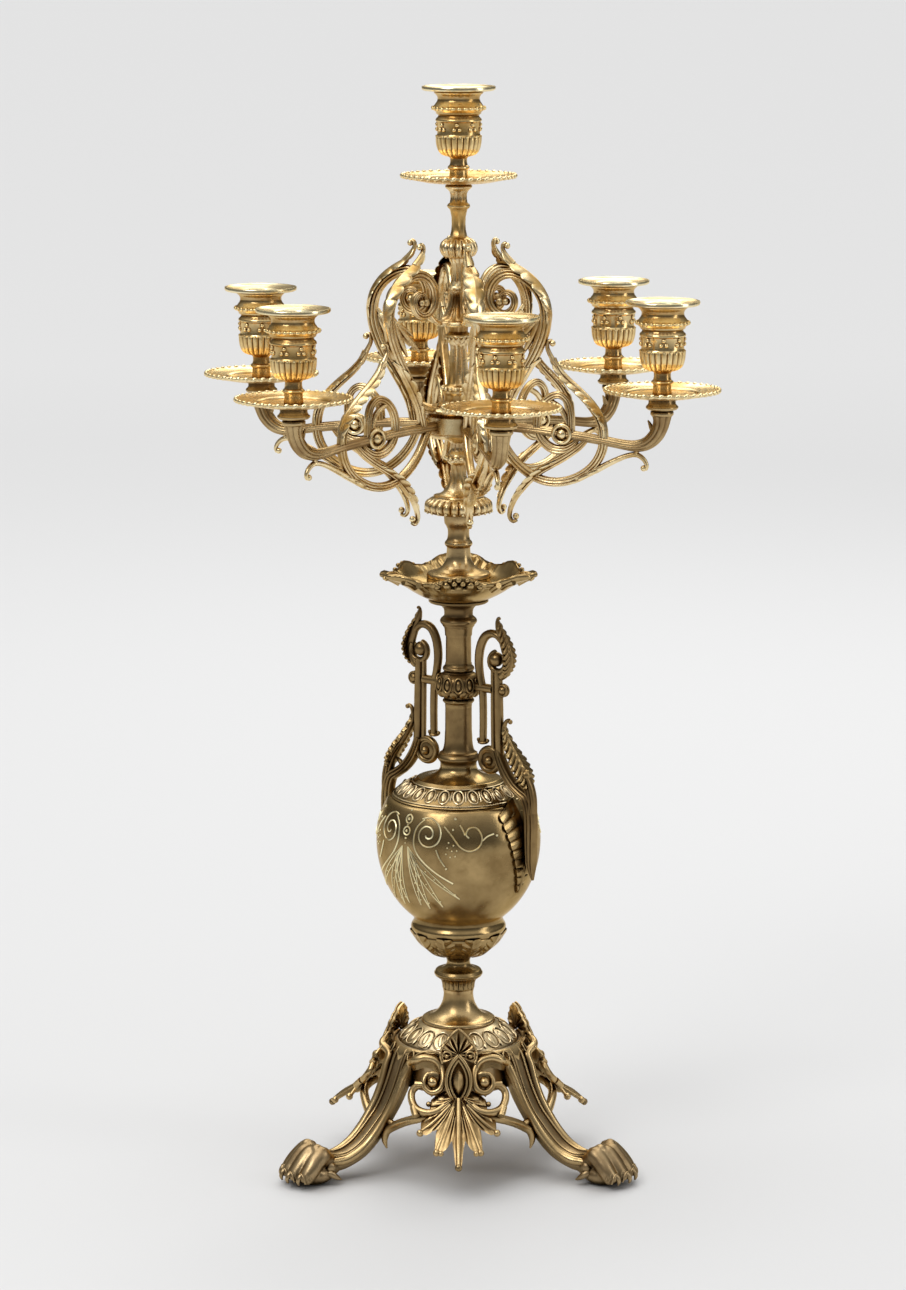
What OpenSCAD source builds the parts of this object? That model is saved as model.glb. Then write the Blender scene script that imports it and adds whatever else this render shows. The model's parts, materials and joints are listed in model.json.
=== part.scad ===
/* [Lights] */
// Height of the centre liner's flange over the table
centre_top = 670; // [668:0.5:672]
// Height of the six outer liners' flanges over the table
side_top = 545; // [544:0.5:546]
// Radius of the circle that the six outer lights stand on
light_circle_r = 129; // [128:0.5:130]
// Radius of the candle socket in a liner
socket_r = 11; // [10.5:0.05:11]
// Depth of the candle socket under the liner's flange
socket_depth = 22; // [18:1:22]
// Wall of a liner
liner_wall = 0.5; // [0.4:0.05:0.5]
// Radius of a liner's flange
flange_r = 22.3; // [20:0.1:24]
// Radius of a drip pan
pan_r = 35.6; // [32:0.1:38]
// Direction of the first arm, from the front towards the right
first_arm = 11; // [0:1:30]

/* [Stand] */
// Greatest radius of the urn's globe
urn_r = 51; // [50:0.1:52]
// Wall of the spun and turned pieces
wall = 1.6; // [1.2:0.1:2]
// Distance from the axis to the middle of a paw
paw_reach = 109; // [107:0.5:111]
// Thickness of a leg
leg_t = 14; // [12:0.5:16]
// Direction of the right handle, from the front towards the right
handle_turn = 52; // [48:1:56]
// Thickness of a handle's bars
handle_t = 4.6; // [4:0.1:6]

/* [Arms] */
// Radius of an arm's straight bar
bar_r = 3; // [2.6:0.1:3]
// Thickness of the scrollwork
scroll_t = 4.4; // [3.6:0.1:5]

/* [Rods] */
// Radius of the tie rod through the stand
tie_r = 4; // [3.5:0.1:4]
// Radius of the spigot that the branches turn on
spigot_r = 5.5; // [5:0.1:5.5]
// Radius of the rod through the branches
rod_r = 3; // [2.5:0.1:3]

/* [Hidden] */
$fn = 72;

gilt = "gold";
brass = "darkgoldenrod";
old_brass = "olive";
iron = "dimgray";

fit_gap = 0.05;
seat_gap = 0.05;
arm_step = 60;
leg_step = 120;
first_leg = 60;

// Levels of the stand, from the table up
skirt_z = 52;
skirt_r = 37.5;
skirt_wall = 4;
dome_z = 77;
trumpet_z = 89;
knop_z = 109.6;
cup_z = 127.7;
globe_z = 158.6;
globe_mid_z = 206;
shoulder_z = 233;
column_z = 253;
leaf_knop_z = 290;
upper_z = 317;
dish_z = 357;
stem_z = 371;
spigot_top = 391;

// Levels of the branches
collar_z = 409.6;
hub_z = 456;
hub_top = 476;
bell_z = 526;
finial_z = 550;
bar_in_z = 465;
bar_out_z = 457;
bar_out_rho = 107;
elbow_r = 15;
rod_z = 397;
rod_top = 575;

// Heights within a light, measured from its flange
flange_t = 3;
nozzle_top = -flange_t - seat_gap;
nozzle_foot = -56.5 + seat_gap;
pan_seat = -58;
stud_r = 3;
stud_top = -45.5;
nozzle_bore = socket_r + liner_wall + fit_gap;

// Fixing screws of the base, from inside the dome's skirt
screw_r = 1.5;
screw_z = 64;
screw_start = 31;
screw_end = 44.5;
screw_head_r = 3;
screw_head_t = 2.2;

// Rivets of a handle: where each starts and ends, and how thick its head is
rivet_r = 1.2;
rivet_head_r = 2.2;
rivet_head_t = 1.5;
lug_z = 303.5;
lug_rivet = [8, 23.9];
leg_rivet_z = 200;
leg_rivet = [48, 59.4];

// Nut and washer under the tie rod
nut_z = 72;
nut_h = 7;
nut_r = 8;
washer_h = 1.5;
washer_r = 11;
tie_foot = 66;

// ---- outlines ----

// Half-round moulding from z0 to z1 that stands out from r0 to r1
function ring(r0, r1, z0, z1, n = 8) =
    [for (i = [0:n]) [r0 + (r1 - r0) * sin(180 * i / n), z0 + (z1 - z0) * i / n]];

// Quarter curve that leaves upright and arrives level
function flare(r0, z0, r1, z1, n = 7) =
    [for (i = [0:n]) [r0 + (r1 - r0) * (1 - cos(90 * i / n)), z0 + (z1 - z0) * sin(90 * i / n)]];

// Quarter curve that leaves level and arrives upright
function cove(r0, z0, r1, z1, n = 7) =
    [for (i = [0:n]) [r0 + (r1 - r0) * sin(90 * i / n), z0 + (z1 - z0) * (1 - cos(90 * i / n))]];

// Ellipse arc about the axis, between two heights
function globe(r, half_h, mid_z, z0, z1, n = 12) =
    [for (i = [0:n])
        let (z = z0 + (z1 - z0) * i / n)
        [r * sqrt(1 - pow((z - mid_z) / half_h, 2)), z]];

// Smooth curve through control points, each a row of values
function blend_row(a, b, c, d, t) =
    0.5 * (2 * b + (c - a) * t + (2 * a - 5 * b + 4 * c - d) * t * t + (3 * b - a - 3 * c + d) * t * t * t);
function spline(p, n = 5) =
    let (last = len(p) - 1)
    concat(
        [for (i = [0:last - 1])
            for (j = [0:n - 1])
                blend_row(p[max(i - 1, 0)], p[i], p[i + 1], p[min(i + 2, last)], j / n)],
        [p[last]]);

// Outline of a stroke along rows of [x, y, half width]
function heading(q, i) =
    let (a = q[max(i - 1, 0)], b = q[min(i + 1, len(q) - 1)], d = [b[0] - a[0], b[1] - a[1]])
    d / norm(d);
function side_point(q, i, side) =
    let (d = heading(q, i))
    [q[i][0] - side * q[i][2] * d[1], q[i][1] + side * q[i][2] * d[0]];
function stroke(q) =
    concat(
        [for (i = [0:len(q) - 1]) side_point(q, i, 1)],
        [for (i = [len(q) - 1:-1:0]) side_point(q, i, -1)]);

// Spiral rows about a centre, its radius and half width changing evenly
function spiral(cx, cz, r0, r1, a0, a1, w0, w1, n = 24) =
    [for (i = [0:n])
        let (t = i / n, r = r0 + (r1 - r0) * t, a = a0 + (a1 - a0) * t)
        [cx + r * cos(a), cz + r * sin(a), w0 + (w1 - w0) * t]];

// ---- shared solids ----

// Solid of revolution with a straight bore
module turned(outline, bore) {
    first = outline[0];
    last = outline[len(outline) - 1];
    rotate_extrude()
        polygon(concat([[bore, first[1]]], outline, [[bore, last[1]]]));
}

// Hollow piece of revolution, closed by a floor and a top that keep the bore
module hollow(outline, bore) {
    first = outline[0];
    last = outline[len(outline) - 1];
    low = first[1] + wall;
    high = last[1] - wall;
    inner = [for (p = outline) if (p[1] > low + 0.5 && p[1] < high - 0.5) [max(p[0] - wall, bore + 1), p[1]]];
    count = len(inner);
    back = [for (i = [count - 1:-1:0]) inner[i]];
    rotate_extrude()
        polygon(concat(
            [[bore, first[1]]], outline, [[bore, last[1]]],
            [[bore, high], [back[0][0], high]], back, [[back[count - 1][0], low], [bore, low]]));
}

// Turns the X axis to a direction counted from the front (-Y) towards +X
module facing(phi) rotate([0, 0, phi - 90]) children();

// Upright plate in the X-Z plane
module plate(thickness) rotate([90, 0, 0]) linear_extrude(thickness, center = true) children();

// Stroke as an upright plate
module bar(rows, thickness) plate(thickness) polygon(stroke(rows));

// Round hole or screw along X, from x0 to x1
module along_x(r, x0, x1, z) translate([x0, 0, z]) rotate([0, 90, 0]) cylinder(r = r, h = x1 - x0);

// ---- base ----

leg_path = spline([
    [34, 70, 9], [39.5, 61, 8], [45.5, 50.5, 6.4], [54, 37, 5.4], [63, 24.8, 5.4],
    [72.3, 16.4, 5.2], [81, 12.2, 5.2], [90.5, 11, 6.4], [102, 12, 7.5]
]);

module paw() {
    difference() {
        union() {
            translate([paw_reach - 3, 0, 10]) sphere(r = 15.5);
            for (side = [-1.5, -0.5, 0.5, 1.5])
                translate([paw_reach + 11 - abs(side) * 2, side * 7.4, 5]) sphere(r = 6.2);
        }
        translate([0, -50, -50]) cube([200, 100, 50]);
    }
}

module base_leg(phi) {
    color(brass) facing(phi) difference() {
        union() {
            bar(leg_path, leg_t);
            paw();
        }
        translate([0, 0, 40]) cylinder(r = skirt_r, h = 60);
        along_x(screw_r + fit_gap, screw_start - 1, screw_end + 0.5, screw_z);
    }
}

fan_lobes = [-56, -28, 0, 28, 56];

module palmette_fan() {
    linear_extrude(4) {
        circle(r = 12);
        for (a = fan_lobes)
            rotate([0, 0, a]) translate([20 - abs(a) / 10, 0]) square([26 - abs(a) / 5, 6], center = true);
        for (a = fan_lobes)
            rotate([0, 0, a]) translate([33 - abs(a) / 5, 0]) circle(r = 3.6);
    }
}

branch_path = spline([
    [6, 70, 2.4], [18, 71, 2.6], [26, 64, 2.8], [32, 50, 2.8], [37, 36, 2.2], [44, 26, 0.9]
]);

module base_palmette(phi) {
    color(brass) facing(phi) difference() {
        union() {
            translate([37, -9, 51]) cube([9, 18, 27]);
            translate([38, -10, 78]) cube([3, 20, 12]);
            translate([38, 0, 90]) rotate([0, 90, 0]) cylinder(r = 7, h = 3);
            translate([46, 0, 64]) rotate([0, 90, 0]) cylinder(r1 = 8, r2 = 4, h = 8);
            translate([50, 0, 52]) rotate([0, 38, 0]) palmette_fan();
            for (side = [0, 1])
                mirror([0, side, 0]) translate([42, 0, 0]) rotate([0, 0, 90]) bar(branch_path, 4);
        }
        translate([0, 0, 40]) cylinder(r = skirt_r, h = 60);
        along_x(screw_r + fit_gap, screw_start - 1, screw_end + 0.5, screw_z);
    }
}

dome_outline = concat(
    [[skirt_r, skirt_z], [skirt_r, dome_z]],
    [for (i = [0:8]) let (t = i / 8) [skirt_r - 14.7 * t + 1.2 * sin(180 * t), dome_z + 12 * t]]);

module base_dome() {
    color(brass) difference() {
        turned(dome_outline, tie_r + fit_gap);
        translate([0, 0, skirt_z - 1]) cylinder(r = skirt_r - skirt_wall, h = dome_z - skirt_z);
        translate([0, 0, dome_z - 2]) cylinder(r1 = skirt_r - skirt_wall, r2 = 20, h = 8);
        for (a = [0:arm_step:300])
            facing(a) along_x(screw_r + fit_gap, screw_start - 1, 40, screw_z);
    }
}

// ---- screws, nut and rods ----

module base_screw(phi) {
    facing(phi) {
        along_x(screw_r, screw_start, screw_end, screw_z);
        along_x(screw_head_r, screw_start, screw_start + screw_head_t, screw_z);
    }
}

module rivet(ends, z) {
    along_x(rivet_r, ends[0], ends[1], z);
    along_x(rivet_head_r, ends[1] - rivet_head_t, ends[1], z);
}

module handle_rivets(phi) {
    facing(phi) {
        rivet(lug_rivet, lug_z);
        rivet(leg_rivet, leg_rivet_z);
    }
}

module washer(r, h, z) {
    translate([0, 0, z]) difference() {
        cylinder(r = r, h = h);
        translate([0, 0, -1]) cylinder(r = tie_r + fit_gap, h = h + 2);
    }
}

module fasteners() {
    color(iron) {
        for (a = [0:arm_step:300]) base_screw(a);
        handle_rivets(handle_turn);
        handle_rivets(handle_turn - 180);
        translate([0, 0, nut_z]) difference() {
            cylinder(r = nut_r, h = nut_h, $fn = 6);
            translate([0, 0, -1]) cylinder(r = tie_r + fit_gap, h = nut_h + 2);
        }
        washer(washer_r, washer_h, nut_z + nut_h);
    }
}

module tie_rod() {
    color(iron) {
        translate([0, 0, tie_foot]) cylinder(r = tie_r, h = stem_z - tie_foot + 1);
        translate([0, 0, stem_z]) cylinder(r = spigot_r, h = spigot_top - stem_z);
    }
}

module branch_rod() {
    color(iron) translate([0, 0, rod_z]) cylinder(r = rod_r, h = rod_top - rod_z);
}

// ---- turned stack of the stand ----

module foot_trumpet() {
    outline = concat([[22.8, trumpet_z], [22.8, 91]], cove(22.4, 91, 9.1, 107), [[9.7, knop_z]]);
    color(brass) turned(outline, tie_r + fit_gap);
}

module lower_knop() {
    outline = concat(
        [[9.7, knop_z]], flare(9.9, 110.2, 13.1, 117.4), [[13.1, 118]],
        ring(13.3, 15, 118, 121.5), cove(13.9, 121.5, 7.2, 127), [[7.2, cup_z]]);
    color(old_brass) turned(outline, tie_r + fit_gap);
}

module urn_cup() {
    outline = concat(
        [[7.2, cup_z], [7.8, 130.3]], cove(9, 130.8, 28.6, 146.5), ring(28.8, 29.4, 147, 154),
        [[27.8, 155], [27.8, 157], [29.9, globe_z]]);
    color(old_brass) hollow(outline, tie_r + fit_gap);
}

globe_outline = concat(
    globe(urn_r, 58.5, globe_mid_z, globe_z, globe_mid_z - 4),
    globe(urn_r, 51, globe_mid_z, globe_mid_z, 232),
    [[41.2, shoulder_z]]);

module urn_body() {
    color(old_brass) difference() {
        hollow(globe_outline, tie_r + fit_gap);
        for (turn = [0, 180])
            facing(handle_turn - turn) along_x(rivet_r + fit_gap, 40, 60, leg_rivet_z);
    }
}

module urn_shoulder() {
    outline = concat(
        [[41.2, shoulder_z]],
        [for (i = [1:6]) let (t = i / 6) [41.2 - 13.2 * t + 1.2 * sin(180 * t), shoulder_z + 10 * t]],
        [[26.5, 243], [26.5, 244]], cove(26, 244.4, 11.2, 252), [[11.2, column_z]]);
    color(old_brass) hollow(outline, tie_r + fit_gap);
}

module column_lower() {
    outline = concat(
        [[11.2, column_z], [11.2, 255]], ring(11.4, 12.8, 255.2, 260), cove(11.6, 260.5, 8.5, 272),
        [[8.3, 276], [8.3, leaf_knop_z]]);
    color(old_brass) turned(outline, tie_r + fit_gap);
}

knop_bulge = ring(9.8, 14, 297, 310.5);

module column_knop() {
    outline = concat(
        [[8.3, leaf_knop_z], [8.5, 291.5]], ring(8.6, 9.8, 291.6, 295.4), [[9.2, 296.4]],
        knop_bulge, [[9.2, 311.4]], ring(8.6, 9.8, 312.4, 316), [[8.2, upper_z]]);
    color(old_brass) difference() {
        turned(outline, tie_r + fit_gap);
        for (turn = [0, 180])
            facing(handle_turn - turn) along_x(rivet_r + fit_gap, 7.5, 20, lug_z);
    }
}

module column_upper() {
    outline = concat(
        [[8, upper_z], [8, 334]], flare(8.2, 334.5, 9.6, 340), ring(9.6, 11.4, 341, 346),
        [[8.9, 347], [9.3, 351], [12, 354], [18.3, 355], [18.3, dish_z]]);
    color(old_brass) turned(outline, tie_r + fit_gap);
}

// ---- handles ----

handle_outer = spline([
    [31, 346, 0.8], [32.5, 338, 2.4], [35, 330, 2.6], [33.5, 321, 2.4], [30.4, 312, 1.8], [30, 300, 1.7],
    [30, 275, 1.7], [30.4, 263, 1.8], [27.6, 252.6, 1.8], [20.8, 251.8, 1.6], [18.2, 257.5, 1.5],
    [20.5, 262, 1.4]
]);
handle_top = spiral(28.6, 330, 7.8, 3.4, 60, 420, 1.8, 1.2);
handle_tail = spline([
    [29.8, 262, 1.8], [34, 271, 2.2], [39, 282, 2], [41, 288, 0.8]
]);
handle_leg = spline([
    [35, 274, 1.8], [42, 264, 2.6], [49, 255, 2.8], [53, 245, 3], [55.4, 232, 3], [56, 218, 3],
    [54.5, 204, 3.2], [51, 190, 3], [44, 177.5, 1]
]);

module handle_leaf() {
    intersection() {
        rotate_extrude() polygon(concat(
            [[20, 172]], [for (p = globe_outline) if (p[1] > 172) [p[0] + 1.8, p[1]]], [[20, shoulder_z]]));
        translate([30, 0, 178]) rotate([90, 0, 90]) linear_extrude(40)
            polygon([[-1.5, 0], [1.5, 0], [11, 38], [8, 50], [0, 53], [-8, 50], [-11, 38]]);
    }
}

module handle(phi) {
    color(old_brass) facing(phi) difference() {
        union() {
            bar(handle_outer, handle_t);
            bar(handle_top, handle_t - 0.6);
            bar(handle_tail, handle_t - 0.3);
            bar(handle_leg, handle_t + 0.5);
            translate([18.4, -handle_t / 2, 256]) cube([3.2, handle_t, 58]);
            translate([18.4, -handle_t / 2 + 0.2, 309.5]) cube([12, handle_t - 0.4, 3]);
            translate([12, -3, lug_z - 3]) cube([8, 6, 6]);
            handle_leaf();
        }
        rotate_extrude() polygon(concat([[0, globe_z]], globe_outline, [[0, shoulder_z]]));
        rotate_extrude() polygon(concat(
            [[0, knop_bulge[0][1]]], knop_bulge, [[0, knop_bulge[len(knop_bulge) - 1][1]]]));
        along_x(rivet_r + fit_gap, 10, 30, lug_z);
        along_x(rivet_r + fit_gap, 40, 70, leg_rivet_z);
    }
}

// ---- dish ----

lobe_count = 3;
lobe_tip_r = 54;
lobe_end_r = 3;
dish_turn = 90;
dish_rim_r = 38;
dish_seat_r = 15;
dish_outline = concat(
    [[8, dish_z], [18.3, dish_z], [21, 358.6]], cove(22, 358.8, 36, 368.6),
    [[41, 371.8], [47, 374], [lobe_tip_r, 375.4], [lobe_tip_r, 377.6], [46.4, 376.4], [40, 374], [35, 370.4]],
    flare(33.4, 368.4, 22, 361.4), [[8, 361]]);

// Dish seen from above: a round rim with three leaf lobes
module dish_plan() {
    circle(r = dish_rim_r);
    for (i = [0:lobe_count - 1])
        rotate([0, 0, i * 360 / lobe_count + dish_turn]) hull() {
            translate([27, 0]) circle(r = 17);
            translate([lobe_tip_r - lobe_end_r, 0]) circle(r = lobe_end_r);
        }
}

module drip_dish() {
    color(old_brass) difference() {
        union() {
            intersection() {
                rotate_extrude() polygon(dish_outline);
                linear_extrude(stem_z + 20) dish_plan();
            }
            translate([0, 0, dish_z + 2]) cylinder(r = dish_seat_r, h = stem_z - dish_z - 2);
        }
        translate([0, 0, dish_z - 1]) cylinder(r = tie_r + fit_gap, h = stem_z - dish_z + 2);
    }
}

// ---- turned stack of the branches ----

module branch_stem() {
    outline = concat(
        [[19.5, stem_z + seat_gap], [19.5, 373.6]], cove(18.6, 373.8, 7.4, 385), [[7.2, 388]],
        ring(7.2, 8.6, 389.4, 394), [[6.6, 396], [6.6, 400], [8.6, 404], [9, collar_z]]);
    color(brass) difference() {
        turned(outline, rod_r + fit_gap);
        translate([0, 0, stem_z - 1]) cylinder(r = spigot_r + fit_gap, h = spigot_top - stem_z + 1.4);
    }
}

module gadroon_collar() {
    outline = concat(
        [[9, collar_z], [16, 410]], ring(18.4, 21, 410.8, 419.4), [[16.4, 420.4]],
        cove(16.2, 421, 4.8, 437), [[4.8, 440]], ring(6.6, 8.4, 441, 448), [[5, 450], [5, 454], [8.6, hub_z]]);
    color(gilt) turned(outline, rod_r + fit_gap);
}

module arm_hub() {
    outline = [
        [9, hub_z], [17, 458], [18.4, 459.4], [19.5, 461], [19.5, 470.5], [18.2, 471.5], [19.4, 472.6],
        [21, 473.6], [21, 475], [19.6, hub_top]
    ];
    color(gilt) difference() {
        turned(outline, rod_r + fit_gap);
        for (i = [0:5]) facing(first_arm + i * arm_step) arm_axis() along_x(bar_r + fit_gap, -8.5, 10, 0);
    }
}

module upper_column() {
    outline = concat(
        [[13, hub_top], [13, 478], [9, 479.4], [9, 483]], ring(8.8, 10, 483.6, 488.4),
        [[6.8, 489.2], [6.2, 491], [5, 511], [5.4, 514], [6.4, 517]], ring(6.4, 7.8, 518, 522),
        [[5.6, 523], [5.6, bell_z]]);
    color(gilt) turned(outline, rod_r + fit_gap);
}

module fluted_bell() {
    outline = concat(
        [[14.6, bell_z], [14.9, 528]], cove(14.2, 528.6, 5, 548), [[5.4, 549], [5.2, finial_z]]);
    color(gilt) turned(outline, rod_r + fit_gap);
}

module finial_stem() {
    seat_z = centre_top + pan_seat;
    outline = concat(
        [[5.2, finial_z], [4.6, 552], [4.6, 564], [5.2, 566]], ring(6, 11.8, 566.5, 578.6),
        [[5, 580], [4.2, 586], [4.2, 592], [5, 595]], ring(5.2, 7, 596.4, 599.6),
        [[5, 601], [5, 605], [6.3, 607.6]], ring(7.2, 8.2, 608.4, 611), [[7.4, seat_z]]);
    color(gilt) {
        difference() {
            turned(outline, 0);
            translate([0, 0, finial_z - 1]) cylinder(r = rod_r + fit_gap, h = rod_top - finial_z + 1.3);
        }
        translate([0, 0, seat_z - 1]) cylinder(r = stud_r, h = stud_top - pan_seat + 1);
    }
}

// ---- arms ----

module arm_axis() {
    translate([19.5, 0, bar_in_z]) rotate([0, atan2(bar_in_z - bar_out_z, bar_out_rho - 19.5), 0]) children();
}

elbow_rho = light_circle_r;
boss_rho = 66;
boss_r = 5.2;
elbow_path = concat(
    [[bar_out_rho - 4, bar_out_z + 0.4, bar_r - 0.2]],
    [for (i = [0:8])
        let (a = -95 + 95 * i / 8)
        [elbow_rho - elbow_r + elbow_r * cos(a), bar_out_z + elbow_r + elbow_r * sin(a), 3 + 1.8 * i / 8]],
    [[elbow_rho, bar_out_z + 22, 5]]);

c_scroll = spline([
    [60.6, 516, 0.8], [64, 505, 2.4], [73, 494, 3.4], [84, 482, 3.4], [92, 468, 2.6], [92, 454, 2.4],
    [84, 438, 2.4], [72, 431, 2.6], [60, 430, 2.6], [46, 434, 2.4], [35, 444, 2.4], [29, 455, 2.2],
    [26.5, 463, 2]
]);
c_tail = spline([
    [60, 448, 1.6], [52, 440, 2.2], [42, 430, 2.4], [34, 420, 1.9], [34.5, 413, 1.5], [38.6, 411.6, 1.7]
]);
c_inner = spiral(66, 462, 19, 9.6, 95, 350, 1.4, 1.4);
c_tendril = spline([
    [66, 431.5, 1.6], [80, 436.6, 2.6], [95, 444.5, 2], [108, 448.6, 1.4], [116, 447, 1.2], [118.4, 441.5, 1.5]
]);

// Rings and stud under an outer light: radius, foot and top of each
arm_seat_z = side_top + pan_seat;
arm_seat = [
    [5.2, 476, 481], [7.8, 480, 483], [6.4, 482.5, arm_seat_z], [stud_r, arm_seat_z - 1, side_top + stud_top]
];

module arm(i) {
    color(gilt) facing(first_arm + (i - 1) * arm_step) {
        arm_axis() along_x(bar_r, -8, bar_out_rho - 19.5, 0);
        bar(elbow_path, 6.4);
        for (step = arm_seat)
            translate([elbow_rho, 0, step[1]]) cylinder(r = step[0], h = step[2] - step[1]);
        translate([boss_rho, 0, 460.8]) rotate([90, 0, 0]) cylinder(r = boss_r, h = 10.8, center = true);
        bar(c_scroll, scroll_t);
        bar(c_tail, scroll_t - 0.4);
        bar(c_inner, scroll_t - 0.8);
        bar(c_tendril, scroll_t - 0.6);
    }
}

s_scroll = spline([
    [29, 470.4, 2.2], [33.5, 480, 2.6], [41, 492, 2.8], [50, 504, 2.8], [57, 518, 3], [60, 533, 3.2],
    [57.5, 548, 3], [48, 560, 2.6], [37, 567, 1.8], [31, 571, 1.2], [30.6, 577, 1.3], [34, 579, 1.2]
]);
s_volute = spiral(34, 545.5, 17, 6, 60, 560, 2.2, 1.6, 40);
s_brace = spline([
    [45, 560, 1.6], [40, 562, 1.7], [34.5, 562.3, 1.8]
]);
s_ray = spline([[24, 524, 1.4], [31, 516, 1.7], [41, 501, 1.7], [45, 497.2, 1.4]]);
s_cuff = spline([[21.5, 477, 1.6], [22, 488, 2.2], [23.6, 502, 2], [24, 512, 1.8], [24, 526, 1.6]]);

module scroll(i) {
    color(gilt) facing(first_arm + (i - 1) * arm_step) difference() {
        union() {
            bar(s_scroll, scroll_t);
            bar(s_volute, scroll_t - 0.4);
            bar(s_brace, scroll_t - 0.8);
            bar(s_ray, scroll_t - 0.6);
            bar(s_cuff, scroll_t - 0.2);
        }
        arm_axis() along_x(bar_r, -5, 60, 0);
    }
}

// ---- lights ----

module light(i) {
    if (i <= 6)
        facing(first_arm + (i - 1) * arm_step) translate([light_circle_r, 0, side_top]) children();
    else
        translate([0, 0, centre_top]) children();
}

module pan(i) {
    outline = concat(
        [[7.6, pan_seat], [20, pan_seat], [22, pan_seat + 0.8], [pan_r - 2.6, pan_seat + 2]],
        ring(pan_r - 1, pan_r, pan_seat + 2, pan_seat + 4.4),
        [[pan_r - 2.4, pan_seat + 3.8], [22, pan_seat + 2.4], [20, pan_seat + 1.5]]);
    color(gilt) light(i) difference() {
        rotate_extrude() polygon(concat([[0, pan_seat]], outline, [[0, pan_seat + 1.5]]));
        translate([0, 0, pan_seat - 1]) cylinder(r = stud_r + fit_gap, h = 5);
    }
}

module nozzle(i) {
    foot = nozzle_foot;
    outline = concat(
        [[5.8, foot], [5.8, -51]], ring(5.4, 6.6, -50, -46.6), [[5.1, -45], [5.1, -43.4], [7.5, -42]],
        cove(8.4, -41.6, 13.6, -33), [[13.4, -29.4]], ring(13.2, 14, -28.6, -20.6), [[12.6, -19.6], [12.4, -18]],
        [[13.5, -15.6]], ring(13.8, 16.5, -14.8, -11.4), [[13.6, -10.4], [12.8, -7.4], [13.8, -5]],
        [[15, -4.2], [15, nozzle_top]]);
    color(gilt) light(i) difference() {
        turned(outline, 0);
        translate([0, 0, -flange_t - socket_depth - 1.2]) cylinder(r = nozzle_bore, h = socket_depth + 5);
        translate([0, 0, foot - 1]) cylinder(r = stud_r + fit_gap, h = stud_top - foot + 1.5);
    }
}

module liner(i) {
    tube_r = socket_r + liner_wall;
    floor_z = -flange_t - socket_depth;
    color(gilt) light(i) rotate_extrude() polygon([
        [0, floor_z - 1], [tube_r, floor_z - 1], [tube_r, -flange_t], [flange_r - 0.8, -flange_t],
        [flange_r, -flange_t + 0.8], [flange_r, -0.6], [flange_r - 0.6, 0], [flange_r - 1.4, -0.2],
        [flange_r - 3, -1.2], [socket_r, -1.6], [socket_r, floor_z], [0, floor_z]
    ]);
}

base_leg(first_leg);  // base_leg_1
base_leg(first_leg + leg_step);  // base_leg_2
base_leg(first_leg + 2 * leg_step);  // base_leg_3
base_palmette(0);  // base_palmette_1
base_palmette(leg_step);  // base_palmette_2
base_palmette(2 * leg_step);  // base_palmette_3
base_dome();
fasteners();
tie_rod();
foot_trumpet();
lower_knop();
urn_cup();
urn_body();
urn_shoulder();
column_lower();
column_knop();
column_upper();
handle(handle_turn - 180);  // handle_left
handle(handle_turn);  // handle_right
drip_dish();
branch_stem();
branch_rod();
gadroon_collar();
arm_hub();
arm(1);  // arm_1
arm(2);  // arm_2
arm(3);  // arm_3
arm(4);  // arm_4
arm(5);  // arm_5
arm(6);  // arm_6
scroll(1);  // scroll_1
scroll(2);  // scroll_2
scroll(3);  // scroll_3
scroll(4);  // scroll_4
scroll(5);  // scroll_5
scroll(6);  // scroll_6
upper_column();
fluted_bell();
finial_stem();
for (i = [1:7]) {
    pan(i);
    nozzle(i);
    liner(i);
}
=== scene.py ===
"""A brass candelabrum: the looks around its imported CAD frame.

Forms are worked out in millimetres. A turned piece counts its heights from the foot of its CAD node,
and what stands on an arm is made along +X and then turned to the arm's direction.
"""

import json
import math

import bmesh
import bpy
import numpy as np
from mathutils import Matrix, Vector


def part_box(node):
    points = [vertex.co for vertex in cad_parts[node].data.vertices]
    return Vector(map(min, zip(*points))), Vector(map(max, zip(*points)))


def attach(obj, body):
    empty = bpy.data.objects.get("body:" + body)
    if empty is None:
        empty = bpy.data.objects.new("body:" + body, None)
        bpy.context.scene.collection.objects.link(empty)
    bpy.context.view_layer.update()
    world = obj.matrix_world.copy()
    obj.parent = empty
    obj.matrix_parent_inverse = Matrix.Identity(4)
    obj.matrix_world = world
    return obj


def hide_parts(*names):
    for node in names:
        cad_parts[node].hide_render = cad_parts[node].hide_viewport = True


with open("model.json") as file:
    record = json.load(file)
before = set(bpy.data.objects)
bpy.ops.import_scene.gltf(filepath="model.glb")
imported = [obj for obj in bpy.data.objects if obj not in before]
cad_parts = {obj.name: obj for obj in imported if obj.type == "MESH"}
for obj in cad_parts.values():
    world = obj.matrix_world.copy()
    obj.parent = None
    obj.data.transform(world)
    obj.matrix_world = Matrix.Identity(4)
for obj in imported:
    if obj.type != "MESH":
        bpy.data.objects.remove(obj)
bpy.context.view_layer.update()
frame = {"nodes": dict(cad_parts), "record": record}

MM = 0.001
AXIS_R = 0.01
BAND_LEAN = -52
LINER_SHARP, CAST_SHARP, PAW_SHARP = 30, 50, 60
SLOT_OF = {row["node"]: row["material_slot"] for row in frame["record"]["subparts"]}
BODY_OF = {node: body for body, nodes in frame["record"]["behaviour"]["bodies"].items()
           for node in nodes}


# ---- places, from the frame ----

def foot_z(node):
    """Height of a node's lowest point, in millimetres."""
    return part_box(node)[0][2] / MM


def top_z(node):
    """Height of a node's highest point, in millimetres."""
    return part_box(node)[1][2] / MM


def middle(node):
    """Middle of a node's box in plan, in millimetres."""
    low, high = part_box(node)
    return (low[0] + high[0]) / 2 / MM, (low[1] + high[1]) / 2 / MM


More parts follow.
